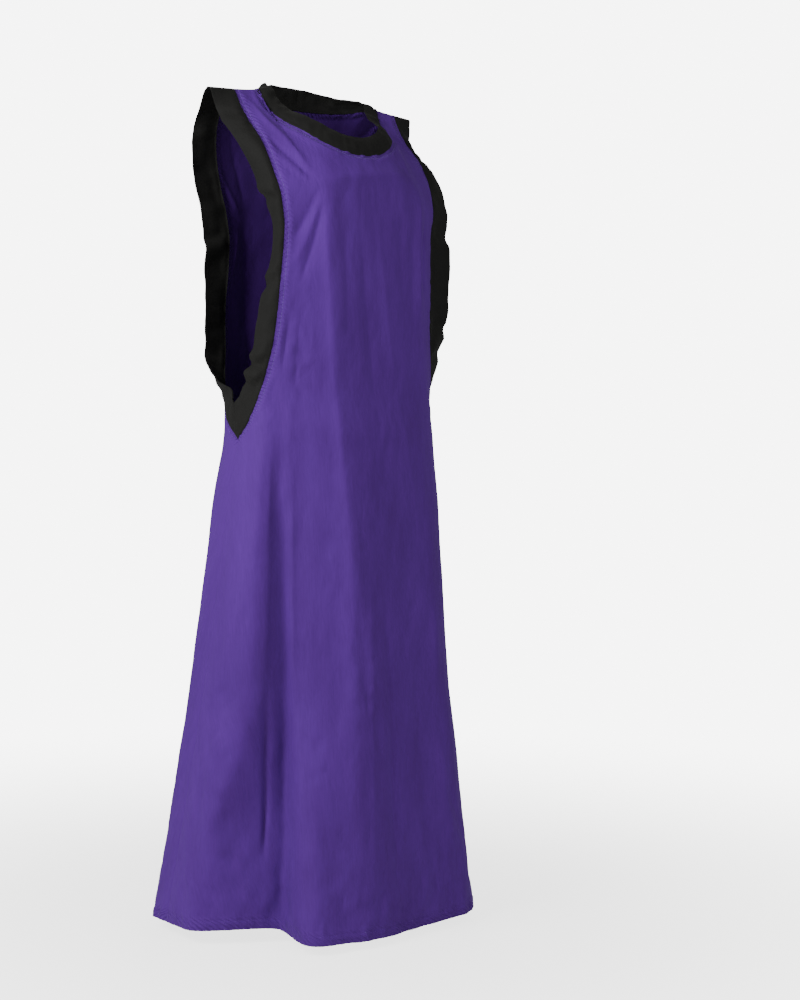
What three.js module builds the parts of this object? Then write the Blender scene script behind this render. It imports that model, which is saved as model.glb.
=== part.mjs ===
// A sideless surcoat: a sleeveless medieval overdress with a scooped neck, two armholes that run from
// the shoulder to the hip, and an A-line skirt that hangs in soft folds to a level hem.
// Millimetres. +Z is up, the front faces -Y and the wearer's left is +X. The origin is the middle of
// the shoulder line, where the wearer carries the garment. A "drop" is a distance below that line.

import * as THREE from "three";

// Cloth
const PANEL_WALL = 1.5;
const BAND_WALL = 2.5; // the bands are doubled cloth
const SEAM_GAP = 0.3;

// Heights, as drops below the shoulder line
const TIP_DROP = 577; // the foot of each armhole seam, where the side seam starts
const FRONT_NECK_DROP = 120; // the neck seam at the middle of the front
const BACK_NECK_DROP = 8; // the neck seam at the middle of the back

// Half widths on the shoulder line
const NECK_SEAM_HALF = 120;
const ARM_SEAM_HALF_RIGHT = 167;
const ARM_SEAM_HALF_LEFT = 161;
const NECK_LEAN = 9; // the foot of the neckline sits this far to the wearer's right

// The slope of the shoulders fades out of the sections between these drops
const LIFT_FADE_FROM = 120;
const LIFT_FADE_TO = 420;

// A panel's columns fan out to its neckline and straps from this share of the armhole's height
const FAN_FROM = 0.35;

// The skirt's folds grow to their full depth at this drop, slowly at first
const FOLD_FULL_DROP = 1465;
const FOLD_GROWTH = 1.4;

// An armhole band leaves its panel smoothly: how much, and how far from each end that fades
const BAND_BEND = 0.4;
const BEND_FADE_AT_TIP = 110;
const BEND_FADE_AT_SHOULDER = 60;

// The neck band from its seam to its free edge: sideways and up at the straps, what the middle of the
// front and of the back add to that, and how much higher it stands on the wearer's right
const NECK_BAND_IN = 26;
const NECK_BAND_UP = 14;
const NECK_BAND_MIDDLE = { front: { back: 18, up: 16, lean: 0 }, back: { back: -7, up: 13, lean: 8 } };

// How finely the walls are divided
const PANEL_COLUMNS = 34;
const STRAP_COLUMNS = 4;
const SKIRT_ROWS = 11;
const ARMHOLE_ROWS = 14;
const BAND_ROWS = 3;
const BORDER_PASSES = 6;

const PURPLE = 0x503f8c;
const BLACK = 0x1f1f1e;

// Height of the shoulder line above z = 0, from the middle of the neck out to the armhole edge
const SHOULDER_LINE = [
  { out: 0, rise: 34 },
  { out: 40, rise: 33 },
  { out: 85, rise: 21 },
  { out: 120, rise: -2 },
  { out: 167, rise: -8 },
  { out: 215, rise: -15 },
];

// Level sections through the garment. Each is a rounded oval: half its width, how far the front and
// the back stand off the line that joins its two sides, where that line lies, and how square it is.
const SECTIONS = [
  { drop: 0, half: 214, front: 0, back: 0, side: 0, square: 3.8 },
  { drop: 3, half: 214, front: 10, back: 12, side: 0, square: 3.8 },
  { drop: 12, half: 213, front: 18, back: 26, side: 0, square: 3.8 },
  { drop: 30, half: 212, front: 30, back: 48, side: 0, square: 3.8 },
  { drop: 60, half: 210, front: 58, back: 70, side: 0, square: 3.7 },
  { drop: 106, half: 205, front: 106, back: 86, side: -2, square: 3.6 },
  { drop: 154, half: 197, front: 132, back: 94, side: -8, square: 3.4 },
  { drop: 195, half: 188, front: 144, back: 98, side: -14, square: 3.2 },
  { drop: 250, half: 181, front: 142, back: 101, side: -18, square: 3.0 },
  { drop: 360, half: 185, front: 139, back: 104, side: -17, square: 2.9 },
  { drop: 450, half: 185, front: 124, back: 112, side: -30, square: 2.7 },
  { drop: 520, half: 182, front: 113, back: 122, side: -43, square: 2.5 },
  { drop: 580, half: 186, front: 113, back: 134, side: -50, square: 2.4 },
  { drop: 660, half: 196, front: 128, back: 142, side: -42, square: 2.4 },
  { drop: 800, half: 211, front: 150, back: 150, side: -32, square: 2.3 },
  { drop: 1000, half: 231, front: 185, back: 163, side: -14, square: 2.2 },
  { drop: 1200, half: 255, front: 222, back: 180, side: 6, square: 2.2 },
  { drop: 1350, half: 275, front: 250, back: 194, side: 20, square: 2.2 },
];

// The armhole seams: how far round the section each lies, in degrees from the middle of its own panel
const ARMHOLE_SEAM = [
  { drop: 8, frontRight: 43, frontLeft: 41, back: 43 },
  { drop: 60, frontRight: 43.5, frontLeft: 40.5, back: 42 },
  { drop: 110, frontRight: 44.5, frontLeft: 41.5, back: 40.6 },
  { drop: 160, frontRight: 46, frontLeft: 45, back: 39.6 },
  { drop: 200, frontRight: 47, frontLeft: 47, back: 39 },
  { drop: 290, frontRight: 47.5, frontLeft: 47, back: 39.8 },
  { drop: 360, frontRight: 48.5, frontLeft: 48, back: 41 },
  { drop: 420, frontRight: 51.5, frontLeft: 51, back: 43.5 },
  { drop: 470, frontRight: 57, frontLeft: 57, back: 50 },
  { drop: 515, frontRight: 66, frontLeft: 66, back: 61 },
  { drop: 550, frontRight: 77, frontLeft: 77, back: 75 },
  { drop: 577, frontRight: 90, frontLeft: 90, back: 90 },
];

// Each armhole band from its seam to its free edge: sideways (away from the middle), to the back and
// up. The right front band wraps back round the ribs and the left one stands out.
const FRONT_BAND_RIGHT = [
  { drop: 8, out: 44, back: 0, up: -3 },
  { drop: 60, out: 31, back: 26, up: -2 },
  { drop: 110, out: 23, back: 32, up: 0 },
  { drop: 160, out: 10, back: 39, up: 0 },
  { drop: 210, out: 1, back: 42, up: 0 },
  { drop: 260, out: -6, back: 42, up: 0 },
  { drop: 310, out: -5, back: 43, up: 0 },
  { drop: 360, out: 3, back: 44, up: 1 },
  { drop: 420, out: 6, back: 43, up: 6 },
  { drop: 470, out: 5, back: 41, up: 14 },
  { drop: 520, out: 1, back: 36, up: 28 },
  { drop: 577, out: -2, back: 13, up: 56 },
];
const FRONT_BAND_LEFT = [
  { drop: 8, out: 36, back: 0, up: -3 },
  { drop: 35, out: 27, back: 6, up: -2 },
  { drop: 60, out: 26, back: 22, up: -1 },
  { drop: 90, out: 18, back: 27, up: 0 },
  { drop: 110, out: 25, back: 19, up: 0 },
  { drop: 130, out: 33, back: 18, up: 0 },
  { drop: 160, out: 41, back: 18, up: 0 },
  { drop: 210, out: 43, back: 13, up: 0 },
  { drop: 260, out: 46, back: 8, up: 0 },
  { drop: 360, out: 44, back: 7, up: 0 },
  { drop: 420, out: 40, back: 18, up: 6 },
  { drop: 470, out: 33, back: 28, up: 14 },
  { drop: 520, out: 13, back: 36, up: 26 },
  { drop: 577, out: -2, back: 13, up: 56 },
];
const BACK_BAND_RIGHT = [
  { drop: 8, out: 44, back: 0, up: -3 },
  { drop: 40, out: 36, back: 14, up: -12 },
  { drop: 90, out: 43, back: -1, up: -5 },
  { drop: 150, out: 45, back: -2, up: 0 },
  { drop: 240, out: 46, back: 0, up: 0 },
  { drop: 330, out: 43, back: -6, up: 0 },
  { drop: 410, out: 41, back: -10, up: 4 },
  { drop: 465, out: 36, back: -8, up: 10 },
  { drop: 500, out: 24, back: -18, up: 18 },
  { drop: 530, out: 9, back: -30, up: 34 },
  { drop: 577, out: -2, back: 13, up: 56 },
];

const BACK_BAND_LEFT = [
  { drop: 8, out: 36, back: 0, up: -3 },
  { drop: 40, out: 33, back: 12, up: -10 },
  ...BACK_BAND_RIGHT.slice(2),
];

// The hanging folds of the skirt, placed in degrees round from the middle of the front, with the
// wearer's left positive. A valley has a negative depth. Each starts at its own drop.
const FOLDS = [
  { turn: -82, width: 17, depth: 3, start: 360 },
  { turn: -47, width: 13, depth: -66, start: 300 },
  { turn: -31, width: 8, depth: 40, start: 380 },
  { turn: 13, width: 14, depth: -20, start: 260 },
  { turn: 38, width: 12, depth: 9, start: 340 },
  { turn: 64, width: 9, depth: -38, start: 440 },
  { turn: 90, width: 16, depth: 38, start: 380 },
  { turn: 122, width: 11, depth: -45, start: 340 },
  { turn: 145, width: 12, depth: 20, start: 390 },
  { turn: 174, width: 13, depth: -52, start: 280 },
  { turn: -154, width: 12, depth: 22, start: 390 },
  { turn: -126, width: 12, depth: -47, start: 360 },
];

// Drop of the hem round the garment
const HEM = [
  { turn: -180, drop: 1345 },
  { turn: -135, drop: 1352 },
  { turn: -90, drop: 1348 },
  { turn: -52, drop: 1346 },
  { turn: -30, drop: 1354 },
  { turn: 0, drop: 1358 },
  { turn: 45, drop: 1351 },
  { turn: 90, drop: 1322 },
  { turn: 135, drop: 1336 },
  { turn: 180, drop: 1345 },
];

const RIGHT = -1;
const LEFT = 1;

const mix = (a, b, t) => a + (b - a) * t;

function smoothStep(from, to, x) {
  const t = THREE.MathUtils.clamp((x - from) / (to - from), 0, 1);
  return t * t * (3 - 2 * t);
}

// A smooth value from a table, held inside the range of its neighbouring rows
function lookUp(table, key, column, at) {
  const last = table.length - 1;
  const x = THREE.MathUtils.clamp(at, table[0][key], table[last][key]);
  let i = 0;
  while (i < last - 1 && x > table[i + 1][key]) i += 1;
  const rise = (k) => (table[k + 1][column] - table[k][column]) / (table[k + 1][key] - table[k][key]);
  const slope = (k) => {
    if (k === 0) return rise(0);
    if (k === last) return rise(last - 1);
    const product = rise(k - 1) * rise(k);
    return product <= 0 ? 0 : (2 * product) / (rise(k - 1) + rise(k));
  };
  const span = table[i + 1][key] - table[i][key];
  const t = (x - table[i][key]) / span;
  const low = table[i][column];
  const high = table[i + 1][column];
  const curve = t * t * (3 - 2 * t);
  const start = t * (1 - t) * (1 - t) * span * slope(i);
  const end = t * t * (1 - t) * span * slope(i + 1);
  return low + (high - low) * curve + start - end;
}

// How far a fold field moves the cloth outwards
function foldOffset(turn, drop) {
  let offset = 0;
  for (const fold of FOLDS) {
    const around = ((((turn - fold.turn + 180) % 360) + 360) % 360) - 180;
    const grown = smoothStep(fold.start, FOLD_FULL_DROP, drop) ** FOLD_GROWTH;
    offset += fold.depth * grown * Math.exp(-((around / fold.width) ** 2));
  }
  return offset;
}

// The point of the garment's form at a turn from the middle of the front, at a height
function formPoint(turn, z) {
  const level = -z;
  const angle = THREE.MathUtils.degToRad(turn);
  const sideways = Math.sin(angle);
  const forwards = Math.cos(angle);
  const square = lookUp(SECTIONS, "drop", "square", level);
  const size = (Math.abs(sideways) ** square + Math.abs(forwards) ** square) ** (1 / square);
  const x = (lookUp(SECTIONS, "drop", "half", level) * sideways) / size;
  const faded = smoothStep(LIFT_FADE_FROM, LIFT_FADE_TO, level);
  const lift = lookUp(SHOULDER_LINE, "out", "rise", Math.abs(x)) * (1 - faded);
  const drop = Math.max(level + lift, 0);
  const depth = lookUp(SECTIONS, "drop", forwards > 0 ? "front" : "back", drop);
  const y = lookUp(SECTIONS, "drop", "side", drop) - (depth * forwards) / size;
  const offset = foldOffset(turn, level);
  return new THREE.Vector3(x + offset * sideways, y - offset * forwards, z);
}

// The turn at which the form is x wide at a height
function turnAt(x, z) {
  const square = lookUp(SECTIONS, "drop", "square", -z);
  const share = Math.abs(x) / lookUp(SECTIONS, "drop", "half", -z);
  if (share < 1e-6) return 0;
  return Math.sign(x) * THREE.MathUtils.radToDeg(Math.atan((share ** -square - 1) ** (-1 / square)));
}

// Drops of the points along an armhole seam, close together at the tip and over the shoulder
function armholeDrop(row) {
  return mix(TIP_DROP, ARMHOLE_SEAM[0].drop, (1 - Math.cos((Math.PI * row) / ARMHOLE_ROWS)) / 2);
}

// The outer surface of the front or the back panel, row by row from the hem up
function panelGrid(facing) {
  const isFront = facing === "front";
  const neckColumns = PANEL_COLUMNS - 2 * STRAP_COLUMNS;
  const neckDrop = isFront ? FRONT_NECK_DROP : BACK_NECK_DROP;
  const shoulderDrop = -lookUp(SHOULDER_LINE, "out", "rise", NECK_SEAM_HALF);
  const seamColumn = { [RIGHT]: isFront ? "frontRight" : "back", [LEFT]: isFront ? "frontLeft" : "back" };
  const seamTurn = (side, drop) => lookUp(ARMHOLE_SEAM, "drop", seamColumn[side], drop);
  const seamHalf = { [RIGHT]: ARM_SEAM_HALF_RIGHT, [LEFT]: ARM_SEAM_HALF_LEFT };
  const place = (turn, drop) => formPoint(isFront ? turn : 180 - turn, -drop);

  // where each column ends: along one strap, round the neck, along the other strap
  const tops = [];
  for (let i = 0; i <= PANEL_COLUMNS; i += 1) {
    const fromMiddle = i - PANEL_COLUMNS / 2;
    const strap = (Math.abs(fromMiddle) - neckColumns / 2) / STRAP_COLUMNS;
    const side = fromMiddle < 0 ? RIGHT : LEFT;
    let x = side * mix(NECK_SEAM_HALF, seamHalf[side], strap);
    let drop = -lookUp(SHOULDER_LINE, "out", "rise", Math.abs(x));
    if (strap < 0) {
      const swing = (fromMiddle / neckColumns) * Math.PI;
      x = NECK_SEAM_HALF * Math.sin(swing) - (isFront ? NECK_LEAN * Math.cos(swing) : 0);
      drop = mix(shoulderDrop, neckDrop, Math.cos(swing));
    }
    tops.push({ side, drop, share: turnAt(x, -drop) / seamTurn(side, ARMHOLE_SEAM[0].drop) });
  }

  const rows = [];
  for (let j = 0; j < SKIRT_ROWS; j += 1) {
    const row = [];
    for (let i = 0; i <= PANEL_COLUMNS; i += 1) {
      const turn = (2 * i / PANEL_COLUMNS - 1) * 90;
      const hem = lookUp(HEM, "turn", "drop", isFront ? turn : (turn < 0 ? -180 : 180) - turn);
      row.push(place(turn, mix(hem, TIP_DROP, j / SKIRT_ROWS)));
    }
    rows.push(row);
  }
  for (let j = 0; j <= ARMHOLE_ROWS; j += 1) {
    const seamDrop = armholeDrop(j);
    const climbed = (TIP_DROP - seamDrop) / (TIP_DROP - ARMHOLE_SEAM[0].drop);
    rows.push(tops.map((top, i) => {
      const share = mix(2 * i / PANEL_COLUMNS - 1, top.share, smoothStep(FAN_FROM, 1, climbed));
      return place(share * seamTurn(top.side, seamDrop), mix(TIP_DROP, top.drop, climbed));
    }));
  }
  return rows;
}

// A unit normal at each point of a grid, turned to the outside
function gridNormals(rows) {
  return rows.map((row, j) => row.map((point, i) => {
    const below = rows[Math.max(j - 1, 0)][i];
    const above = rows[Math.min(j + 1, rows.length - 1)][i];
    const before = row[Math.max(i - 1, 0)];
    const after = row[Math.min(i + 1, row.length - 1)];
    const up = above.clone().sub(below);
    return after.clone().sub(before).cross(up).normalize();
  }));
}

// Normals that the pieces on both sides of a seam share
function sideNormal(side, drop) {
  const turnStep = 1;
  const heightStep = 5;
  const around = formPoint(side * (90 + turnStep), -drop).sub(formPoint(side * (90 - turnStep), -drop));
  const up = formPoint(side * 90, heightStep - drop).sub(formPoint(side * 90, -heightStep - drop));
  return around.cross(up).normalize().multiplyScalar(side);
}

function ridgeNormal(x) {
  const step = 4;
  const outer = lookUp(SHOULDER_LINE, "out", "rise", Math.abs(x) + step);
  const inner = lookUp(SHOULDER_LINE, "out", "rise", Math.abs(x) - step);
  return new THREE.Vector3((-Math.sign(x) * (outer - inner)) / (2 * step), 0, 1).normalize();
}

// Even out the normals along a border, so that the cut edges there are not twisted
function evenOut(normals) {
  let even = normals.map((normal) => normal.clone());
  for (let pass = 0; pass < BORDER_PASSES; pass += 1) {
    const before = even;
    even = before.map((normal, k) => {
      if (k === 0 || k === before.length - 1) return normal;
      return normal.clone().multiplyScalar(2).add(before[k - 1]).add(before[k + 1]).normalize();
    });
  }
  return even;
}

function makePanel(facing) {
  const rows = panelGrid(facing);
  const outwards = facing === "front" ? 1 : -1;
  const normals = gridNormals(rows).map((row) => row.map((n) => n.multiplyScalar(outwards)));
  const last = rows.length - 1;
  for (let j = 0; j <= SKIRT_ROWS; j += 1) {
    for (const [side, i] of [[RIGHT, 0], [LEFT, PANEL_COLUMNS]]) {
      normals[j][i] = sideNormal(side, -rows[j][i].z);
    }
  }
  for (let i = 0; i <= PANEL_COLUMNS; i += 1) {
    const onStrap = i <= STRAP_COLUMNS || i >= PANEL_COLUMNS - STRAP_COLUMNS;
    if (onStrap) normals[last][i] = ridgeNormal(rows[last][i].x);
  }
  for (const i of [0, PANEL_COLUMNS]) {
    const border = evenOut(normals.slice(SKIRT_ROWS).map((row) => row[i]));
    border.forEach((normal, k) => normals[SKIRT_ROWS + k][i].copy(normal));
  }
  const neckEnd = PANEL_COLUMNS - STRAP_COLUMNS;
  const neck = evenOut(normals[last].slice(STRAP_COLUMNS, neckEnd + 1));
  neck.forEach((normal, k) => normals[last][STRAP_COLUMNS + k].copy(normal));
  return { rows, normals };
}

// The unit direction, within the cloth, that leads out of a panel across its border
function acrossBorder(normal, before, after, outside) {
  const across = after.clone().sub(before).cross(normal).normalize();
  return across.dot(outside) < 0 ? across.negate() : across;
}

// One armhole band of the front or back, from the tip up to the shoulder: it leaves its panel
// smoothly and ends at its free edge
function makeArmholeBand(panel, side, table) {
  const column = side === RIGHT ? 0 : PANEL_COLUMNS;
  const inner = side === RIGHT ? 1 : PANEL_COLUMNS - 1;
  const first = SKIRT_ROWS;
  const last = panel.rows.length - 1;
  const rows = [];
  const normals = [];
  for (let step = 0; step <= BAND_ROWS; step += 1) {
    rows.push([]);
    normals.push([]);
  }
  for (let j = first; j <= last; j += 1) {
    const seam = panel.rows[j][column];
    const drop = armholeDrop(j - first);
    const reach = new THREE.Vector3(
      side * lookUp(table, "drop", "out", drop),
      lookUp(table, "drop", "back", drop),
      lookUp(table, "drop", "up", drop),
    );
    const before = panel.rows[Math.max(j - 1, first)][column];
    const after = panel.rows[Math.min(j + 1, last)][column];
    const outside = seam.clone().sub(panel.rows[j][inner]);
    const leave = acrossBorder(panel.normals[j][column], before, after, outside);
    const fromTip = smoothStep(0, BEND_FADE_AT_TIP, TIP_DROP - drop);
    const fromShoulder = smoothStep(0, BEND_FADE_AT_SHOULDER, drop - ARMHOLE_SEAM[0].drop);
    leave.multiplyScalar(reach.length());
    const bend = reach.clone().lerp(leave, fromTip * fromShoulder).multiplyScalar(BAND_BEND);
    for (let step = 0; step <= BAND_ROWS; step += 1) {
      const t = step / BAND_ROWS;
      const point = seam.clone().addScaledVector(bend, 2 * t * (1 - t)).addScaledVector(reach, t * t);
      rows[step].push(point);
    }
  }
  const raw = gridNormals(rows);
  for (let step = 0; step <= BAND_ROWS; step += 1) {
    for (let j = first; j <= last; j += 1) {
      const seamNormal = panel.normals[j][column];
      const own = raw[step][j - first];
      if (own.dot(seamNormal) < 0) own.negate();
      normals[step].push(step === 0 || j === first ? seamNormal : own);
    }
    const end = rows[step][last - first];
    normals[step][last - first] = ridgeNormal(end.x);
  }
  return { rows, normals };
}

// The neck band of the front or back: from the neck seam in and up to the free edge
function makeNeckBand(panel, facing) {
  const start = STRAP_COLUMNS;
  const end = PANEL_COLUMNS - STRAP_COLUMNS;
  const seam = panel.rows.at(-1).slice(start, end + 1);
  const seamNormals = panel.normals.at(-1).slice(start, end + 1);
  const reaches = seam.map((_, i) => {
    const swing = (i / (end - start) - 0.5) * Math.PI;
    const middle = Math.cos(swing);
    const added = NECK_BAND_MIDDLE[facing];
    const sideways = -NECK_BAND_IN * Math.sin(swing);
    const up = NECK_BAND_UP + added.up * middle - added.lean * Math.sin(2 * swing);
    return new THREE.Vector3(sideways, added.back * middle, up);
  });
  const rows = [];
  for (let step = 0; step <= BAND_ROWS; step += 1) {
    rows.push(seam.map((point, i) => point.clone().addScaledVector(reaches[i], step / BAND_ROWS)));
  }
  const normals = gridNormals(rows);
  normals[0] = seamNormals;
  for (let step = 0; step <= BAND_ROWS; step += 1) {
    for (let i = 0; i <= end - start; i += 1) {
      if (normals[step][i].dot(seamNormals[i]) < 0) normals[step][i].negate();
    }
    for (const i of [0, end - start]) {
      if (step > 0) normals[step][i].set(-reaches[i].z * Math.sign(reaches[i].x), 0, Math.abs(reaches[i].x));
      normals[step][i].normalize();
    }
  }
  return { rows, normals };
}

// Pull the sewn borders of a grid back. An edge is given as its share of half a seam gap, 0 if free,
// and corner is the share of the bottom edge's two end points at each end, where cloth turns sharply.
function openSeams({ rows, normals }, edges) {
  const last = rows.length - 1;
  const end = rows[0].length - 1;
  const shifted = rows.map((row) => row.map((point) => point.clone()));
  const pull = (share, j, i, inside, before, after) => {
    const out = acrossBorder(normals[j][i], before, after, rows[j][i].clone().sub(inside));
    shifted[j][i].addScaledVector(out, (-share * SEAM_GAP) / 2);
  };
  for (let j = 0; j <= last; j += 1) {
    const below = rows[Math.max(j - 1, 0)];
    const above = rows[Math.min(j + 1, last)];
    if (edges.first) pull(edges.first, j, 0, rows[j][1], below[0], above[0]);
    if (edges.last) pull(edges.last, j, end, rows[j][end - 1], below[end], above[end]);
  }
  for (let i = 0; i <= end; i += 1) {
    const before = Math.max(i - 1, 0);
    const after = Math.min(i + 1, end);
    const bottom = Math.min(i, end - i) < 2 ? edges.corner : edges.bottom;
    if (bottom) pull(bottom, 0, i, rows[1][i], rows[0][before], rows[0][after]);
    if (edges.top) pull(edges.top, last, i, rows[last - 1][i], rows[last][before], rows[last][after]);
  }
  return shifted;
}

// A closed wall from its outer grid: the outer face, the inner face and the four cut edges
function clothWall({ rows, normals }, wall, edges) {
  const outer = openSeams({ rows, normals }, edges);
  const height = rows.length;
  const width = rows[0].length;
  const positions = [];
  for (const layer of [0, wall]) {
    for (let j = 0; j < height; j += 1) {
      for (let i = 0; i < width; i += 1) {
        positions.push(...outer[j][i].clone().addScaledVector(normals[j][i], -layer).toArray());
      }
    }
  }
  const at = (layer, j, i) => (layer * height + j) * width + i;
  const index = [];
  const quad = (a, b, c, d) => index.push(a, b, c, a, c, d);
  for (let j = 0; j < height - 1; j += 1) {
    for (let i = 0; i < width - 1; i += 1) {
      quad(at(0, j, i), at(0, j, i + 1), at(0, j + 1, i + 1), at(0, j + 1, i));
      quad(at(1, j, i), at(1, j + 1, i), at(1, j + 1, i + 1), at(1, j, i + 1));
    }
    const end = width - 1;
    quad(at(0, j, 0), at(0, j + 1, 0), at(1, j + 1, 0), at(1, j, 0));
    quad(at(0, j, end), at(1, j, end), at(1, j + 1, end), at(0, j + 1, end));
  }
  for (let i = 0; i < width - 1; i += 1) {
    const top = height - 1;
    quad(at(0, 0, i), at(1, 0, i), at(1, 0, i + 1), at(0, 0, i + 1));
    quad(at(0, top, i), at(0, top, i + 1), at(1, top, i + 1), at(1, top, i));
  }
  return facingOut(positions, index);
}

// Turn the faces over if they enclose a negative volume
function facingOut(positions, index) {
  const corner = (k) => new THREE.Vector3().fromArray(positions, 3 * index[k]);
  let volume = 0;
  for (let k = 0; k < index.length; k += 3) {
    volume += corner(k).dot(corner(k + 1).cross(corner(k + 2)));
  }
  const turned = volume < 0 ? index.toReversed() : index;
  const geometry = new THREE.BufferGeometry();
  geometry.setAttribute("position", new THREE.Float32BufferAttribute(positions, 3));
  geometry.setIndex(turned);
  geometry.computeVertexNormals();
  return geometry;
}

function addPiece(group, name, geometry, colour) {
  const material = new THREE.MeshStandardMaterial({ color: colour, roughness: 0.8, metalness: 0 });
  const mesh = new THREE.Mesh(geometry, material);
  mesh.name = name;
  group.add(mesh);
}

const group = new THREE.Group();
const front = makePanel("front");
const back = makePanel("back");
const PANEL_EDGES = { first: 1, last: 1, bottom: 0, corner: 0, top: 1 };
const ARMHOLE_EDGES = { first: 1.6, last: 1, bottom: 1, corner: 1.2, top: 0 };
const NECK_EDGES = { first: 1, last: 1, bottom: 1, corner: 4, top: 0 };

addPiece(group, "front_panel", clothWall(front, PANEL_WALL, PANEL_EDGES), PURPLE);
addPiece(group, "back_panel", clothWall(back, PANEL_WALL, PANEL_EDGES), PURPLE);
addPiece(group, "neck_band_front", clothWall(makeNeckBand(front, "front"), BAND_WALL, NECK_EDGES), BLACK);
addPiece(group, "neck_band_back", clothWall(makeNeckBand(back, "back"), BAND_WALL, NECK_EDGES), BLACK);
const armholeBands = [
  ["armhole_band_front_right", front, RIGHT, FRONT_BAND_RIGHT],
  ["armhole_band_front_left", front, LEFT, FRONT_BAND_LEFT],
  ["armhole_band_back_right", back, RIGHT, BACK_BAND_RIGHT],
  ["armhole_band_back_left", back, LEFT, BACK_BAND_LEFT],
];
for (const [name, panel, side, table] of armholeBands) {
  const band = makeArmholeBand(panel, side, table);
  addPiece(group, name, clothWall(band, BAND_WALL, ARMHOLE_EDGES), BLACK);
}

export default group;
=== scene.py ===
"""A sideless surcoat: a sleeveless medieval overdress of purple cotton with black twill bands.

Lengths in the tables and constants are millimetres. +Z is up, the front faces -Y and the wearer's left
is +X. A "drop" is a distance below the shoulder line, a "turn" is an angle round the garment from the
middle of the front, and both are the same as in the frame's solids.
"""

import functools
import math
from typing import NamedTuple

import bpy
import numpy as np
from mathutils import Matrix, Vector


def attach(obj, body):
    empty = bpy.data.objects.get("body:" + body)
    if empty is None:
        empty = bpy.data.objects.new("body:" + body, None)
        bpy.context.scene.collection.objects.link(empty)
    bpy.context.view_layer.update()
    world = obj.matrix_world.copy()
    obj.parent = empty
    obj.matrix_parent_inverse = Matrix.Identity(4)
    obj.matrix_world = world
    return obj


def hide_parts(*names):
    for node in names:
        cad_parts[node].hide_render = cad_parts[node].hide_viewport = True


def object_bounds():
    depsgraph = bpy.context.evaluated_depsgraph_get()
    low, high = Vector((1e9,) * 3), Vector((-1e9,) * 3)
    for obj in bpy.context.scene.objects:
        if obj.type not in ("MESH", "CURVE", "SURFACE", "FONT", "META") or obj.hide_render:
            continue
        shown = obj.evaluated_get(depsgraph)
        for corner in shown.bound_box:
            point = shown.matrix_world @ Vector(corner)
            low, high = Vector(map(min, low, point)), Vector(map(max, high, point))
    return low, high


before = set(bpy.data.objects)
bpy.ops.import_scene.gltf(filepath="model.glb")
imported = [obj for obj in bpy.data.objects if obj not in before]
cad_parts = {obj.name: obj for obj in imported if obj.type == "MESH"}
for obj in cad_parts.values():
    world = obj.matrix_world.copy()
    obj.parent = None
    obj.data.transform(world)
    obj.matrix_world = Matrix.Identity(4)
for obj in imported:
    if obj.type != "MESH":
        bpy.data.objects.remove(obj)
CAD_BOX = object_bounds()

bl_info = {
    "name": "Sideless surcoat",
    "version": (1, 0, 0),
    "blender": (4, 5, 0),
    "location": "View3D > Sidebar > Surcoat",
    "description": "Builds a sleeveless medieval overdress with banded armholes",
    "category": "Object",
}

MM = 0.001

# Heights, as drops below the shoulder line
TIP_DROP = 577
FRONT_NECK_DROP = 120
BACK_NECK_DROP = 8

# Half widths on the shoulder line
NECK_SEAM_HALF = 120
ARM_SEAM_HALF = {"right": 167, "left": 161}
NECK_LEAN = 9  # the foot of the neckline sits this far to the wearer's right

LIFT_FADE = (120, 420)  # the slope of the shoulders fades out between these drops
FAN_FROM = 0.35  # columns fan out to the neckline from this share of the armhole's height
FOLD_FULL_DROP = 1465
FOLD_GROWTH = 1.4
BAND_BEND = 0.4
BEND_FADE_AT_TIP = 110
BEND_FADE_AT_SHOULDER = 60
NECK_BAND_IN = 26
NECK_BAND_BACK = {"front": 18, "back": -7}  # how far to the back its middle reaches
NECK_BAND_RISE = {
    "swing": (-90, -60, -30, 0, 30, 60, 90),
    "front": (8, 20, 28, 30, 28, 20, 6),
    "back": (8, 20, 31, 33, 28, 18, 8),
}

# How finely the cloth is divided
COLUMNS = 204
STRAP_COLUMNS = 24
NECK_COLUMNS = slice(STRAP_COLUMNS, COLUMNS - STRAP_COLUMNS + 1)
HEM_ROWS = 12
SKIRT_ROWS = 108
ARMHOLE_ROWS = 122
BAND_STEPS = 14
BAND_UNDERLAP = -0.07  # where the first row of a band lies, as a share of its width
BAND_TUCK = 1.6  # the underlapping row lies this far below the panel

HEM_ZONE = 26  # rows lie close together this far above the hem
WALL_MIDDLE = 0.75  # the cloth's middle layer, below the solids' outer face
SIDE_FADE = 30  # relief dies away this close to a side or shoulder seam
SEAM_MEETING = 8  # both panels turn straight out this close to a side seam, so that they meet
BAND_WRINKLE_GROWTH = 1.8  # how much the wrinkles in the table are raised
BAND_WRINKLE_SPREAD = 1.5  # and how much they are widened
SEAM_PUCKER = 2.8  # how deep a seam draws the cloth in
SEAM_PUCKER_LENGTH = 7.5  # from one pucker to the next
SEAM_PUCKER_RISE = 1.3  # how far the cloth swells beside the topstitching
TOPSTITCH_GROOVE = 0.7
HEM_PUCKER = 1.6
HEM_GROOVE = 1.0
CRUMPLE_HEIGHT = 2.4
CREASE_SOFTNESS = 0.4  # how round a crease's crest is, as a share of its width

SHOULDER_LINE = {
    "out": (0, 40, 85, 120, 167, 215),
    "rise": (34, 33, 21, -2, -8, -15),
}

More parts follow.
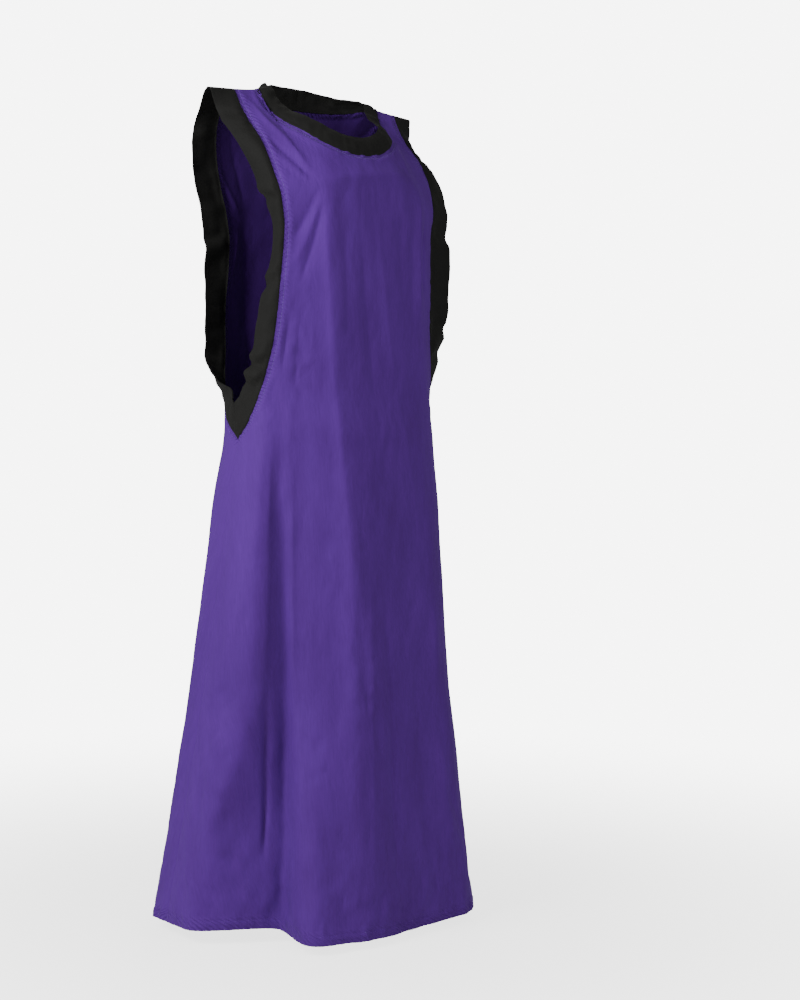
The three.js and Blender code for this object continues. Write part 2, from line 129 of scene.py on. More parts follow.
# Level sections: half the width, how far the front and the back stand off the line that joins the
# sides, where that line lies, and how square the oval is
SECTIONS = {
    "drop": (0, 3, 12, 30, 60, 106, 154, 195, 250, 360, 450, 520, 580, 660, 800, 1000, 1200, 1350),
    "half": (214, 214, 213, 212, 210, 205, 197, 188, 181, 185, 185, 182, 186, 196, 211, 231, 255, 275),
    "front": (0, 10, 18, 30, 58, 106, 132, 144, 142, 139, 124, 113, 113, 128, 150, 185, 222, 250),
    "back": (0, 12, 26, 48, 70, 86, 94, 98, 101, 104, 112, 122, 134, 142, 150, 163, 180, 194),
    "side": (0, 0, 0, 0, 0, -2, -8, -14, -18, -17, -30, -43, -50, -42, -32, -14, 6, 20),
    "square": (3.8, 3.8, 3.8, 3.8, 3.7, 3.6, 3.4, 3.2, 3.0, 2.9, 2.7, 2.5, 2.4, 2.4, 2.3, 2.2, 2.2, 2.2),
}

# The armhole seams, in degrees from the middle of their own panel
ARMHOLE_SEAM = {
    "drop": (8, 60, 110, 160, 200, 290, 360, 420, 470, 515, 550, 577),
    "front_right": (43, 43.5, 44.5, 46, 47, 47.5, 48.5, 51.5, 57, 66, 77, 90),
    "front_left": (41, 40.5, 41.5, 45, 47, 47, 48, 51, 57, 66, 77, 90),
    "back": (43, 42, 40.6, 39.6, 39, 39.8, 41, 43.5, 50, 61, 75, 90),
}

# Each armhole band from its seam to its free edge: sideways, to the back and up
FRONT_BAND_RIGHT = {
    "drop": (8, 60, 110, 160, 210, 260, 310, 360, 420, 470, 520, 577),
    "out": (44, 31, 23, 10, 1, -6, -5, 3, 6, 5, 1, -2),
    "back": (0, 26, 32, 39, 42, 42, 43, 44, 43, 41, 36, 13),
    "up": (-3, -2, 0, 0, 0, 0, 0, 1, 6, 14, 28, 56),
}
FRONT_BAND_LEFT = {
    "drop": (8, 35, 60, 90, 110, 130, 160, 210, 260, 360, 420, 470, 520, 577),
    "out": (36, 31, 30, 20, 25, 33, 41, 43, 46, 44, 40, 33, 13, -2),
    "back": (0, 6, 22, 27, 19, 18, 18, 13, 8, 7, 18, 28, 36, 13),
    "up": (-3, -2, -1, 0, 0, 0, 0, 0, 0, 0, 6, 14, 26, 56),
}
BACK_BAND_RIGHT = {
    "drop": (8, 40, 90, 150, 240, 330, 410, 465, 500, 530, 577),
    "out": (44, 36, 43, 45, 46, 43, 41, 36, 24, 9, -2),
    "back": (0, 14, -1, -2, 0, -6, -10, -8, -18, -30, 13),
    "up": (-3, -12, -5, 0, 0, 0, 4, 10, 18, 34, 56),
}
BACK_BAND_LEFT = {
    "drop": BACK_BAND_RIGHT["drop"],
    "out": (36, 33, *BACK_BAND_RIGHT["out"][2:]),
    "back": (0, 12, *BACK_BAND_RIGHT["back"][2:]),
    "up": (-3, -10, *BACK_BAND_RIGHT["up"][2:]),
}

# The hanging folds of the skirt, the same as in the solids
FOLDS = {
    "turn": (-82, -47, -31, 13, 38, 64, 90, 122, 145, 174, -154, -126),
    "width": (17, 13, 8, 14, 12, 9, 16, 11, 12, 13, 12, 12),
    "depth": (3, -66, 40, -20, 9, -38, 38, -45, 20, -52, 22, -47),
    "start": (360, 300, 380, 260, 340, 440, 380, 340, 390, 280, 390, 360),
}
HEM = {
    "turn": (-180, -135, -90, -52, -30, 0, 45, 90, 135, 180),
    "drop": (1345, 1352, 1348, 1346, 1354, 1358, 1351, 1322, 1336, 1345),
}


# Lines down each panel between which the cloth hangs in nearly flat strips: where a line runs, how far
# it stands out from the form, and how flat the strip on the wearer's left of it is
FRONT_RIDGES = [
    {
        "drop": (480, 600, 760, 990, 1060, 1144, 1210, 1350),
        "turn": (-61, -59.5, -58, -57, -61, -68, -72, -73),
        "lift": (0, 6, 11, 12, 11, 9, 8, 6),
        "flat": (0, 0.8, 1, 1, 1, 1, 1, 1),
    },
    {
        "drop": (480, 600, 760, 990, 1100, 1200, 1350),
        "turn": (-51, -50.5, -49, -46, -43.5, -42, -41),
        "lift": (0, -5, -13, -18, -20, -20, -16),
        "flat": (0, 0, 0, 0, 0, 0, 0),
    },
    {
        "drop": (60, 200, 400, 500, 600, 760, 986, 1076, 1166, 1350),
        "turn": (-44, -46.8, -48, -49, -47.5, -46, -42.5, -40, -38.3, -36.5),
        "lift": (0, 0, 0, 0, -2, -3, -2, 2, 5, 6),
        "flat": (0, 0.8, 0.9, 0.9, 0.9, 0.9, 1, 0.9, 0.75, 0.4),
    },
    {
        "drop": (110, 176, 282, 400, 540, 644, 832, 1050, 1350),
        "turn": (-28, -24.5, -21.5, -19.5, -19, -15, -13.5, -15, -14.5),
        "lift": (0, 3, 4, 4, 4, 5, 5, 4, 4),
        "flat": (0, 0.1, 0.2, 0.2, 0.3, 0.6, 0.8, 0.8, 0.8),
    },
    {
        "drop": (110, 176, 400, 540, 644, 866, 1022, 1114, 1350),
        "turn": (-2, -3, -4, -6, -6, -5, -7.5, -9, -11),
        "lift": (0, 3, 5, 5, 5, 4, 3, 2, 2),
        "flat": (0, 0.3, 0.3, 0.4, 0.5, 0.6, 0.6, 0.5, 0.5),
    },
    {
        "drop": (110, 156, 250, 410, 700, 1000, 1350),
        "turn": (24, 28, 30, 31, 31, 33, 36),
        "lift": (0, 3, 4, 4, 3, 4, 5),
        "flat": (0, 0.2, 0.3, 0.3, 0.3, 0.2, 0.1),
    },
    {
        "drop": (110, 250, 410, 700, 1000, 1350),
        "turn": (43, 46, 49, 58, 62, 66),
        "lift": (0, 0, 0, 0, 0, 0),
        "flat": (0, 0, 0, 0, 0, 0),
    },
]
BACK_RIDGES = [
    {
        "drop": (480, 640, 800, 1000, 1350),
        "turn": (-62, -60, -62, -66, -70),
        "lift": (0, 3, 6, 7, 6),
        "flat": (0, 0.5, 0.4, 0.2, 0.1),
    },
    {
        "drop": (480, 640, 800, 1000, 1350),
        "turn": (-48, -47, -48, -50, -52),
        "lift": (0, -4, -8, -9, -7),
        "flat": (0, 0.5, 0.5, 0.4, 0.2),
    },
    {
        "drop": (110, 200, 400, 600, 900, 1350),
        "turn": (-26, -24, -21, -22, -25, -28),
        "lift": (0, 4, 6, 7, 8, 8),
        "flat": (0, 0.3, 0.4, 0.5, 0.4, 0.2),
    },
    {
        "drop": (110, 200, 400, 600, 900, 1350),
        "turn": (-4, -5, -6, -8, -10, -12),
        "lift": (0, 0, -2, -5, -8, -8),
        "flat": (0, 0.2, 0.3, 0.4, 0.4, 0.2),
    },
    {
        "drop": (110, 200, 400, 600, 900, 1350),
        "turn": (23, 22, 19, 19, 21, 24),
        "lift": (0, 4, 6, 7, 8, 8),
        "flat": (0, 0.5, 0.6, 0.6, 0.4, 0.2),
    },
    {
        "drop": (110, 200, 400, 600, 900, 1350),
        "turn": (39, 39, 42, 46, 50, 54),
        "lift": (0, 0, 0, 0, 3, 4),
        "flat": (0, 0, 0, 0, 0, 0),
    },
]
RIDGES = {"front": FRONT_RIDGES, "back": BACK_RIDGES}
STEEPEST = 0.4  # the least that a flat strip may face straight out
RIDGE_WANDER = 0.9  # how many degrees a line strays to either side
RIDGE_WANDER_LENGTH = 75  # how far down a line it strays one way
RIDGE_WANDER_SEED = 21
RIDGE_ROUNDING = 3.0  # how many degrees either side of a line the cloth bends over
ROUNDING_WEIGHTS = {-1: 0.1, -0.5: 0.25, 0: 0.3, 0.5: 0.25, 1: 0.1}  # by share of the rounding


class Crease(NamedTuple):
    """A soft ridge, or a groove if its height is negative, from one turn and drop to another.

    Turns are from the middle of the crease's own panel. bow pushes its middle sideways, and lean
    makes the flank on one side of it wider than the other.
    """

    turn: float
    drop: float
    to_turn: float
    to_drop: float
    width: float
    height: float
    bow: float = 0
    lean: float = 1


FRONT_CREASES = [
    # over the near strap and into the bust
    Crease(-37.5, 15, -28.5, 170, 9, 4.5, bow=-3),
    Crease(-41, 92, -29.5, 172, 5, -3.6),
    Crease(-42, 126, -31, 174, 4, 2.2),
    Crease(-42, 146, -32, 172, 4, -2.6),
    # across the bust
    Crease(-31, 178, 31, 152, 15, 5, bow=9),
    Crease(-26, 168, -21, 490, 19, 6.5, lean=1.3),
    Crease(-21.5, 420, -13, 900, 16, 4.5, lean=1.3),
    Crease(27, 146, 31, 410, 12, 4.5),
    Crease(33.5, 210, 34, 350, 5, -3),
    # tension from the near bust down to the armhole
    Crease(-27.5, 180, -44, 272, 6, -3.4, bow=4),
    Crease(-27, 186, -43, 318, 7, 2.4, bow=4),
    Crease(-26, 194, -40, 350, 6, -2.8, bow=4),
    Crease(-43, 392, -48, 478, 5, -2.2),
    Crease(-38, 380, -41, 515, 7, -2.0),
    # hanging from the bust
    Crease(-17, 225, -14, 430, 9, -1.8),
    Crease(-9, 205, 4, 560, 12, -2.2),
    Crease(1, 205, 16.5, 520, 12, 1.8),
    Crease(16, 480, 27, 760, 14, 2.2),
    Crease(16, 200, 20, 370, 11, -1.8),
    Crease(24, 210, 27, 420, 9, -1.4),
    # down the skirt
    Crease(-57, 560, -54, 1010, 7, 3.0, lean=0.7),
    Crease(-53.5, 950, -51.5, 1260, 3.6, -8),
    Crease(-45, 600, -41, 1020, 7, 2.4),
    Crease(-14, 770, -8, 1060, 13, -2.4),
    Crease(-5, 740, -9, 1330, 9, 2.2),
    Crease(3, 760, 3, 1340, 15, -5),
    Crease(32, 830, 28, 1010, 17, 4),
    Crease(27, 1040, 31, 1270, 14, 4),
    Crease(17, 900, 20, 1330, 14, -2.2),
    # small ones
    Crease(-35, 1108, -24, 1091, 4, -2.4),
    Crease(-35, 1101, -25, 1084, 4, 1.4),
    Crease(-76, 965, -67, 1010, 24, -4),
    Crease(-74, 1040, -66, 1075, 20, 3),
    Crease(-84, 1240, -72, 1325, 5, 1.8),
    Crease(-80, 1262, -64, 1300, 6, -1.8),
    Crease(-30, 1270, -18, 1335, 6, 1.6),
    Crease(8, 1262, 22, 1318, 6, 1.8),
    Crease(-48, 1240, -38, 1330, 7, -2),
    Crease(-41, 985, -32, 1012, 6, -2.4),
    Crease(-40, 1018, -29, 1060, 6, 2.6),
    Crease(-38, 1046, -25, 1056, 5.5, -2.4),
    Crease(-24, 1180, -13, 1245, 7, -2.4),
    Crease(-72, 1222, -60, 1250, 6, -2.4),
    Crease(29, 1130, 43, 1290, 8, -3.4),
]

BACK_CREASES = [
    # from the straps over the shoulder blades
    Crease(-36, 18, -24, 190, 9, 4, bow=4),
    Crease(-40, 110, -27, 205, 5, -3),
    Crease(37, 15, 25, 175, 8, 4, bow=-4),
    Crease(40, 90, 26, 190, 5, -3),
    Crease(-28, 150, 30, 160, 22, 4, bow=8),
    Crease(-26, 165, -20, 520, 17, 5),
    Crease(24, 160, 19, 470, 17, 5),
    Crease(-9, 210, -4, 600, 11, -3),
    Crease(7, 190, 12, 540, 9, -2.8),
    Crease(1, 240, 4, 700, 9, 2.6),
    # pulled towards the armholes
    Crease(-30, 210, -38, 330, 6, -2.6, bow=4),
    Crease(31, 230, 38, 360, 6, -2.8, bow=-4),
    Crease(36, 420, 43, 530, 6, -2.2),
    Crease(-35, 430, -44, 540, 6, -2.2),
    # down the skirt
    Crease(-22, 620, -28, 1300, 10, 3.4),
    Crease(-10, 700, -12, 1330, 8, -3.4),
    Crease(18, 640, 23, 1280, 9, 3.2),
    Crease(31, 700, 35, 1340, 8, -3.6),
    Crease(-42, 780, -49, 1330, 7, 2.8),
    Crease(47, 860, 52, 1300, 7, 3),
    Crease(-62, 930, -55, 975, 20, -4),
    Crease(12, 1010, 22, 1032, 4, -2),
    Crease(-30, 1180, -20, 1160, 4, -2),
    Crease(56, 1230, 68, 1300, 6, 1.8),
    Crease(-76, 1250, -62, 1312, 6, -1.8),
]
CREASES = {"front": FRONT_CREASES, "back": BACK_CREASES}


# Where the cloth is crumpled: the middle of each place as a turn and a drop, and its half sizes
CRUMPLED = {
    "front": (
        (-9, 930, 9, 150),
        (-74, 1130, 9, 90),
        (-30, 1310, 26, 50),
        (20, 1290, 26, 70),
        (-38, 430, 7, 90),
    ),
    "back": ((12, 900, 10, 150), (-60, 1150, 10, 100), (30, 1300, 30, 60), (-35, 1290, 20, 70)),
}


class Wrinkle(NamedTuple):
    """A wrinkle across a band at a drop: how wide and high it is, and how far it slants."""

    drop: float
    width: float
    height: float
    slant: float = 0


ARMHOLE_BANDS = {
    "armhole_band_front_right": (
        "front",
        "right",
        FRONT_BAND_RIGHT,
        [
            Wrinkle(66, 16, 1.6, 10),
            Wrinkle(188, 6, 2.2, -8),
            Wrinkle(200, 6, -2.4, -8),
            Wrinkle(318, 6, 2.0, 6),
            Wrinkle(332, 6, -2.6, 6),
            Wrinkle(452, 7, 2.6, 14),
            Wrinkle(468, 7, -3.0, 12),
            Wrinkle(486, 8, 2.6, 12),
            Wrinkle(505, 7, -2.6, 12),
        ],
    ),
    "armhole_band_front_left": (
        "front",
        "left",
        FRONT_BAND_LEFT,
        [
            Wrinkle(120, 14, 1.8),
            Wrinkle(232, 7, -2.6, 8),
            Wrinkle(246, 8, 2.2, 8),
            Wrinkle(300, 22, 2.0),
            Wrinkle(392, 8, -2.8, -8),
            Wrinkle(410, 9, 2.4, -8),
            Wrinkle(440, 7, -2.2, -8),
        ],
    ),
    "armhole_band_back_right": (
        "back",
        "right",
        BACK_BAND_RIGHT,
        [
            Wrinkle(150, 20, 1.8, 6),
            Wrinkle(236, 8, 2.6, 16),
            Wrinkle(252, 8, -2.6, 16),
            Wrinkle(286, 12, 2.2, 20),
            Wrinkle(360, 18, -2.0),
            Wrinkle(440, 9, 2.2, 10),
        ],
    ),
    "armhole_band_back_left": (
        "back",
        "left",
        BACK_BAND_LEFT,
        [
            Wrinkle(130, 18, 1.8, -6),
            Wrinkle(226, 9, -2.4, -12),
            Wrinkle(270, 10, 2.4, -12),
            Wrinkle(384, 9, -2.4, 10),
            Wrinkle(455, 9, 2.2, -10),
        ],
    ),
}

# The rectangle that each piece is cut from, in metres
CUT_SIZES = {
    "front_panel": (1.06, 1.39),
    "back_panel": (1.02, 1.39),
    "neck_band_front": (0.44, 0.038),
    "neck_band_back": (0.29, 0.036),
    **dict.fromkeys(ARMHOLE_BANDS, (0.7, 0.05)),
}

STITCH_LENGTH = 3.2
THREAD_THICKNESS = 0.7

# Where the camera stands, in metres and degrees
CAMERA_DISTANCE = 2.7
CAMERA_AZIMUTH = -35
CAMERA_HEIGHT = -0.66
CAMERA_LENS = 57.74
CAMERA_SHIFT = (0.085, -0.010)

FLOOR_BELOW_HEM = 0.012


# ---------------------------------------------------------------------------------------------------
# The garment's form
# ---------------------------------------------------------------------------------------------------


def look_up(table, key, name, at):
    """A smooth value from a table, held inside the range of its neighbouring entries."""
    x = np.array(table[key], float)
    y = np.array(table[name], float)
    at = np.clip(at, x[0], x[-1])
    rise = np.diff(y) / np.diff(x)
    product = rise[:-1] * rise[1:]
    agree = product > 0
    total = np.where(agree, rise[:-1] + rise[1:], 1)
    slope = np.concatenate(([rise[0]], np.where(agree, 2 * product / total, 0), [rise[-1]]))
    i = np.clip(np.searchsorted(x, at) - 1, 0, len(x) - 2)
    span = x[i + 1] - x[i]
    t = (at - x[i]) / span
    curve = t * t * (3 - 2 * t)
    start = t * (1 - t) ** 2 * span * slope[i]
    end = t * t * (1 - t) * span * slope[i + 1]
    return y[i] + (y[i + 1] - y[i]) * curve + start - end


def mix(a, b, t):
    return a + (b - a) * t


def smooth_step(low, high, x):
    t = np.clip((x - low) / (high - low), 0, 1)
    return t * t * (3 - 2 * t)


def bump(distance, width):
    return np.exp(-((distance / width) ** 2))


def unit(vectors):
    return vectors / np.linalg.norm(vectors, axis=-1, keepdims=True)


def soft_noise(x, y, seed):
    """Smooth noise from -1 to 1, about one hump to each unit of x and y, the same on every run."""
    size = 128
    lattice = np.random.default_rng(seed).uniform(-1, 1, (size, size))
    i = np.floor(x).astype(int)
    j = np.floor(y).astype(int)
    s = smooth_step(0, 1, x - i)
    t = smooth_step(0, 1, y - j)
    low = mix(lattice[i % size, j % size], lattice[(i + 1) % size, j % size], s)
    high = mix(lattice[i % size, (j + 1) % size], lattice[(i + 1) % size, (j + 1) % size], s)
    return mix(low, high, t)


def fold_offset(turn, drop):
    """How far the skirt's folds move the cloth outwards."""
    offset = 0
    for at, width, depth, start in zip(*FOLDS.values()):
        around = (turn - at + 180) % 360 - 180
        grown = smooth_step(start, FOLD_FULL_DROP, drop) ** FOLD_GROWTH
        offset = offset + depth * grown * bump(around, width)
    return offset


def form_point(turn, level):
    """Points of the form at turns from the middle of the front and levels below the shoulder line."""
    sideways = np.sin(np.radians(turn))
    forwards = np.cos(np.radians(turn))
    square = look_up(SECTIONS, "drop", "square", level)
    size = (np.abs(sideways) ** square + np.abs(forwards) ** square) ** (1 / square)
    x = look_up(SECTIONS, "drop", "half", level) * sideways / size
    lift = look_up(SHOULDER_LINE, "out", "rise", np.abs(x)) * (1 - smooth_step(*LIFT_FADE, level))
    drop = np.maximum(level + lift, 0)
    front = look_up(SECTIONS, "drop", "front", drop)
    back = look_up(SECTIONS, "drop", "back", drop)
    depth = np.where(forwards > 0, front, back)
    y = look_up(SECTIONS, "drop", "side", drop) - depth * forwards / size
    offset = fold_offset(turn, level)
    return np.stack([x + offset * sideways, y - offset * forwards, -level], -1)


def turn_at(x, drop):
    """The turn at which the form is x wide at a drop."""
    square = look_up(SECTIONS, "drop", "square", drop)
    share = np.maximum(np.abs(x) / look_up(SECTIONS, "drop", "half", drop), 1e-6)
    return np.sign(x) * np.degrees(np.arctan((share**-square - 1) ** (-1 / square)))


class Surface(NamedTuple):
    """A piece of cloth as a grid: its points, its outward normals, and how far sewing gathers it."""

    points: np.ndarray
    normals: np.ndarray
    gathered: np.ndarray


def grid_normals(points, outwards):
    along = np.gradient(points, axis=1)
    up = np.gradient(points, axis=0)
    return outwards * unit(np.cross(along, up))


def cloth_coordinates(points):
    """How far each point lies along its row, from the middle, and up its column."""
    across = np.linalg.norm(np.diff(points, axis=1), axis=2)
    along = np.concatenate([np.zeros((len(points), 1)), np.cumsum(across, axis=1)], axis=1)
    along -= along[:, along.shape[1] // 2, None]
    upwards = np.linalg.norm(np.diff(points, axis=0), axis=2)
    up = np.concatenate([np.zeros((1, points.shape[1])), np.cumsum(upwards, axis=0)])
    return np.stack([along, up], -1)


def panel_layout(facing):
    """The turn and the drop of each point of a panel, row by row from the hem up."""
    is_front = facing == "front"
    from_middle = np.arange(COLUMNS + 1) - COLUMNS / 2
    on_right = from_middle < 0
    neck_columns = COLUMNS - 2 * STRAP_COLUMNS
    neck_drop = FRONT_NECK_DROP if is_front else BACK_NECK_DROP
    shoulder_drop = -look_up(SHOULDER_LINE, "out", "rise", NECK_SEAM_HALF)

    def seam_turn(drop):
        right = look_up(ARMHOLE_SEAM, "drop", "front_right" if is_front else "back", drop)
        left = look_up(ARMHOLE_SEAM, "drop", "front_left" if is_front else "back", drop)
        return np.where(on_right, right, left)

    # where each column ends: along one strap, round the neck, along the other strap
    strap = (np.abs(from_middle) - neck_columns / 2) / STRAP_COLUMNS
    half = np.where(on_right, ARM_SEAM_HALF["right"], ARM_SEAM_HALF["left"])
    strap_x = np.sign(from_middle) * mix(NECK_SEAM_HALF, half, strap)
    swing = np.clip(from_middle / neck_columns, -0.5, 0.5) * math.pi
    neck_x = NECK_SEAM_HALF * np.sin(swing) - (NECK_LEAN * np.cos(swing) if is_front else 0)
    top_x = np.where(strap < 0, neck_x, strap_x)
    strap_drop = -look_up(SHOULDER_LINE, "out", "rise", np.abs(top_x))
    top_drop = np.where(strap < 0, mix(shoulder_drop, neck_drop, np.cos(swing)), strap_drop)
    top_share = turn_at(top_x, top_drop) / seam_turn(ARMHOLE_SEAM["drop"][0])

    share = 2 * from_middle / COLUMNS
    side_turn = share * 90
    around = side_turn if is_front else np.where(side_turn < 0, -180, 180) - side_turn
    hem = look_up(HEM, "turn", "drop", around)
    low = np.linspace(0, HEM_ZONE, HEM_ROWS, endpoint=False)[:, None]
    high = np.linspace(0, 1, SKIRT_ROWS - HEM_ROWS, endpoint=False)[:, None]
    skirt_drop = np.concatenate([hem - low, mix(hem - HEM_ZONE, TIP_DROP, high)])
    skirt_turn = np.broadcast_to(side_turn, skirt_drop.shape)

    step = np.arange(ARMHOLE_ROWS + 1) / ARMHOLE_ROWS
    seam_drop = mix(TIP_DROP, ARMHOLE_SEAM["drop"][0], (1 - np.cos(math.pi * step)) / 2)[:, None]
    climbed = (TIP_DROP - seam_drop) / (TIP_DROP - ARMHOLE_SEAM["drop"][0])
    fanned = mix(share, top_share, smooth_step(FAN_FROM, 1, climbed))
    upper_turn = fanned * seam_turn(seam_drop)
    upper_drop = mix(TIP_DROP, top_drop, climbed)
    return np.concatenate([skirt_turn, upper_turn]), np.concatenate([skirt_drop, upper_drop])


def lengths_along(line):
    """How far along a line each of its points lies."""
    return np.concatenate([[0], np.cumsum(np.linalg.norm(np.diff(line, axis=0), axis=1))])


def distance_to(points, line):
    """Each point's distance to a line of points, and how far along the line it is nearest."""
    along = lengths_along(line)
    nearest = np.empty(points.shape[:2])
    place = np.empty(points.shape[:2])
    for j, row in enumerate(points):
        apart = np.linalg.norm(row[:, None] - line[None], axis=2)
        best = apart.argmin(axis=1)
        nearest[j] = apart[np.arange(len(row)), best]
        place[j] = along[best]
    return nearest, place


def crease_height(crease, x, y):
    """The height of a crease at places on the flat cloth, in millimetres across and down."""
    half = look_up(SECTIONS, "drop", "half", np.array([crease.drop, crease.to_drop]))
    x0 = math.radians(crease.turn) * half[0]
    x1 = math.radians(crease.to_turn) * half[1]
    across, down = x1 - x0, crease.to_drop - crease.drop
    length = math.hypot(across, down)
    t = ((x - x0) * across + (y - crease.drop) * down) / length**2
    aside = ((x - x0) * down - (y - crease.drop) * across) / length
    aside = aside - crease.bow * 4 * t * (1 - t)
    width = np.where(aside > 0, crease.width * crease.lean, crease.width / crease.lean)
    ends = smooth_step(0, 0.3, t) * smooth_step(0, 0.3, 1 - t)
    crest = np.exp(CREASE_SOFTNESS - np.hypot(1.4 * aside / width, CREASE_SOFTNESS))
    return crease.height * crest * ends


def on_form(facing, turn, drop):
    return form_point(turn if facing == "front" else 180 - turn, drop)


def level_out(facing, turn):
    """The level direction that leads straight out of the garment at a turn."""
    around = np.radians(turn if facing == "front" else 180 - turn)
    return np.stack([np.sin(around), -np.cos(around), 0 * around], -1)


def hung_flat(facing, turn, drop):
    """How far out of the form the cloth lies where it hangs flat between its ridges and valleys."""
    outwards = 1 if facing == "front" else -1
    lines = RIDGES[facing]
    turns = []
    for k, line in enumerate(lines):
        stray = soft_noise(drop / RIDGE_WANDER_LENGTH, 0 * drop + 0.5, RIDGE_WANDER_SEED + k)
        turns.append(look_up(line, "drop", "turn", drop) + RIDGE_WANDER * stray)
    lifts = [look_up(line, "drop", "lift", drop) for line in lines]
    ends = [on_form(facing, at, drop) for at in turns]
    total = 0
    for shift, weight in ROUNDING_WEIGHTS.items():
        around = turn + shift * RIDGE_ROUNDING
        points = on_form(facing, around, drop)
        straight = level_out(facing, around)
        stand = np.where(around < turns[0], lifts[0] * smooth_step(-90, turns[0], around), 0)
        stand = np.where(around > turns[-1], lifts[-1] * smooth_step(-90, -turns[-1], -around), stand)
        for k in range(len(lines) - 1):
            inside = (around >= turns[k]) & (around <= turns[k + 1])
            share = np.clip((around - turns[k]) / np.maximum(turns[k + 1] - turns[k], 0.01), 0, 1)
            chord = ends[k + 1] - ends[k]
            aside = outwards * np.stack([chord[..., 1], -chord[..., 0]], -1)
            aside = aside / np.maximum(np.linalg.norm(aside, axis=-1, keepdims=True), 0.01)
            bulge = np.sum((points - ends[k])[..., :2] * aside, axis=-1)
            bulge = bulge / np.maximum(np.sum(straight[..., :2] * aside, axis=-1), STEEPEST)
            flat = look_up(lines[k], "drop", "flat", drop)
            stand = np.where(inside, mix(lifts[k], lifts[k + 1], share) - flat * bulge, stand)
        total = total + weight * stand
    return total


def seam_lines(points):
    """The borders of a panel that carry a band: both armholes and the neck."""
    return {
        "armhole_right": points[SKIRT_ROWS:, 0],
        "armhole_left": points[SKIRT_ROWS:, -1],
        "neck": points[-1, NECK_COLUMNS],
    }


@functools.cache
def panel_surface(facing, wrinkles, topstitch_inset, hem_turn):
    """A panel's form with all its creases, wrinkles and the puckers along its seams."""
    outwards = 1 if facing == "front" else -1
    turn, drop = panel_layout(facing)
    from_side = np.radians(90 - np.abs(turn)) * look_up(SECTIONS, "drop", "half", drop)
    hung = hung_flat(facing, turn, drop) * smooth_step(0, SIDE_FADE, from_side)
    points = on_form(facing, turn, drop) + level_out(facing, turn) * hung[:, :, None]

    def meeting_normals(points):
        own = smooth_step(0, SEAM_MEETING, from_side)[:, :, None]
        return unit(mix(level_out(facing, turn), grid_normals(points, outwards), own))

    normals = meeting_normals(points)
    x = np.radians(turn) * look_up(SECTIONS, "drop", "half", drop)
    seed = 11 if facing == "front" else 37

    relief = sum(crease_height(crease, x, drop) for crease in CREASES[facing])
    warp = 14 * soft_noise(x / 60, drop / 90, seed)
    fine = 1.1 * soft_noise((x + warp) / 34, drop / 120, seed + 1)
    fine += 0.6 * soft_noise((x + 0.3 * drop + warp) / 17, (drop - x) / 70, seed + 2)
    fine += 0.22 * soft_noise((x - 0.4 * drop) / 9, drop / 26, seed + 3)
    near_hem = smooth_step(1120, 1330, drop)
    fine += 1.4 * near_hem * soft_noise((x + 0.7 * drop) / 22, (drop - 0.5 * x) / 44, seed + 4)
    for at, height, around, reach in CRUMPLED[facing]:
        near = bump(turn - at, around) * bump(drop - height, reach)
        folded = np.abs(soft_noise((x + warp) / 15, drop / 30, seed + 6))
        folded = folded + np.abs(soft_noise((x - 0.8 * drop) / 24, (drop + 0.3 * x) / 34, seed + 7))
        fine += CRUMPLE_HEIGHT * near * (0.5 - folded)
    relief = relief + wrinkles * fine

    in_skirt = (np.arange(len(points)) <= SKIRT_ROWS)[:, None]
    relief *= np.where(in_skirt | (drop > 500), smooth_step(0, SIDE_FADE, from_side), 1)

    gathered = 0
    for name, line in seam_lines(points).items():
        away, place = distance_to(points, line)
        gathered = np.maximum(gathered, bump(away - topstitch_inset / 2, topstitch_inset))
        puckers = 0.5 + 0.5 * soft_noise(
            (place + 0.6 * away) / SEAM_PUCKER_LENGTH, away / 40, seed + len(name)
        )
        relief -= SEAM_PUCKER * puckers * bump(away - topstitch_inset / 2, topstitch_inset * 0.45)
        relief -= TOPSTITCH_GROOVE * bump(away - topstitch_inset, 1.8)
        swell = bump(away - topstitch_inset * 1.6, topstitch_inset * 0.7)
        relief += SEAM_PUCKER_RISE * puckers * swell
    above_hem = points[:, :, 2] - points[0, :, 2]
    puckers = soft_noise((x + 0.5 * above_hem) / 8, above_hem / 60, seed + 5)
    puckers *= smooth_step(0, SIDE_FADE, from_side)
    relief += HEM_PUCKER * puckers * bump(above_hem - hem_turn * 0.7, hem_turn * 0.8)
    relief -= HEM_GROOVE * bump(above_hem - hem_turn, 2.2)
    gathered = np.maximum(gathered, bump(above_hem - hem_turn / 2, hem_turn * 0.8))
    side_pucker = 0.9 + 0.5 * soft_noise(drop / 10, 0 * drop, 3)
    relief -= np.where(in_skirt, side_pucker * bump(from_side, 3.5), 0)
    for strap in (slice(0, STRAP_COLUMNS + 1), slice(-STRAP_COLUMNS - 1, None)):
        from_shoulder, _ = distance_to(points, points[-1, strap])
        relief *= smooth_step(0, SIDE_FADE, from_shoulder)

    points = points + normals * relief[:, :, None]
    return Surface(points, meeting_normals(points), gathered)


def band_shares():
    """How far along its width each row of a band lies; the first row tucks round the panel's edge."""
    return np.concatenate([[BAND_UNDERLAP], np.arange(BAND_STEPS + 1) / BAND_STEPS])[:, None, None]


def finished_band(points, relief, panel_normals):
    """A band with its relief, tucked under the panel whose normals along the seam are given."""
    outwards = 1 if np.sum(grid_normals(points, 1)[2] * panel_normals) > 0 else -1
    points = points + grid_normals(points, outwards) * relief[:, :, None]
    points[0] -= BAND_TUCK * panel_normals
    return Surface(points, grid_normals(points, outwards), np.zeros(points.shape[:2]))


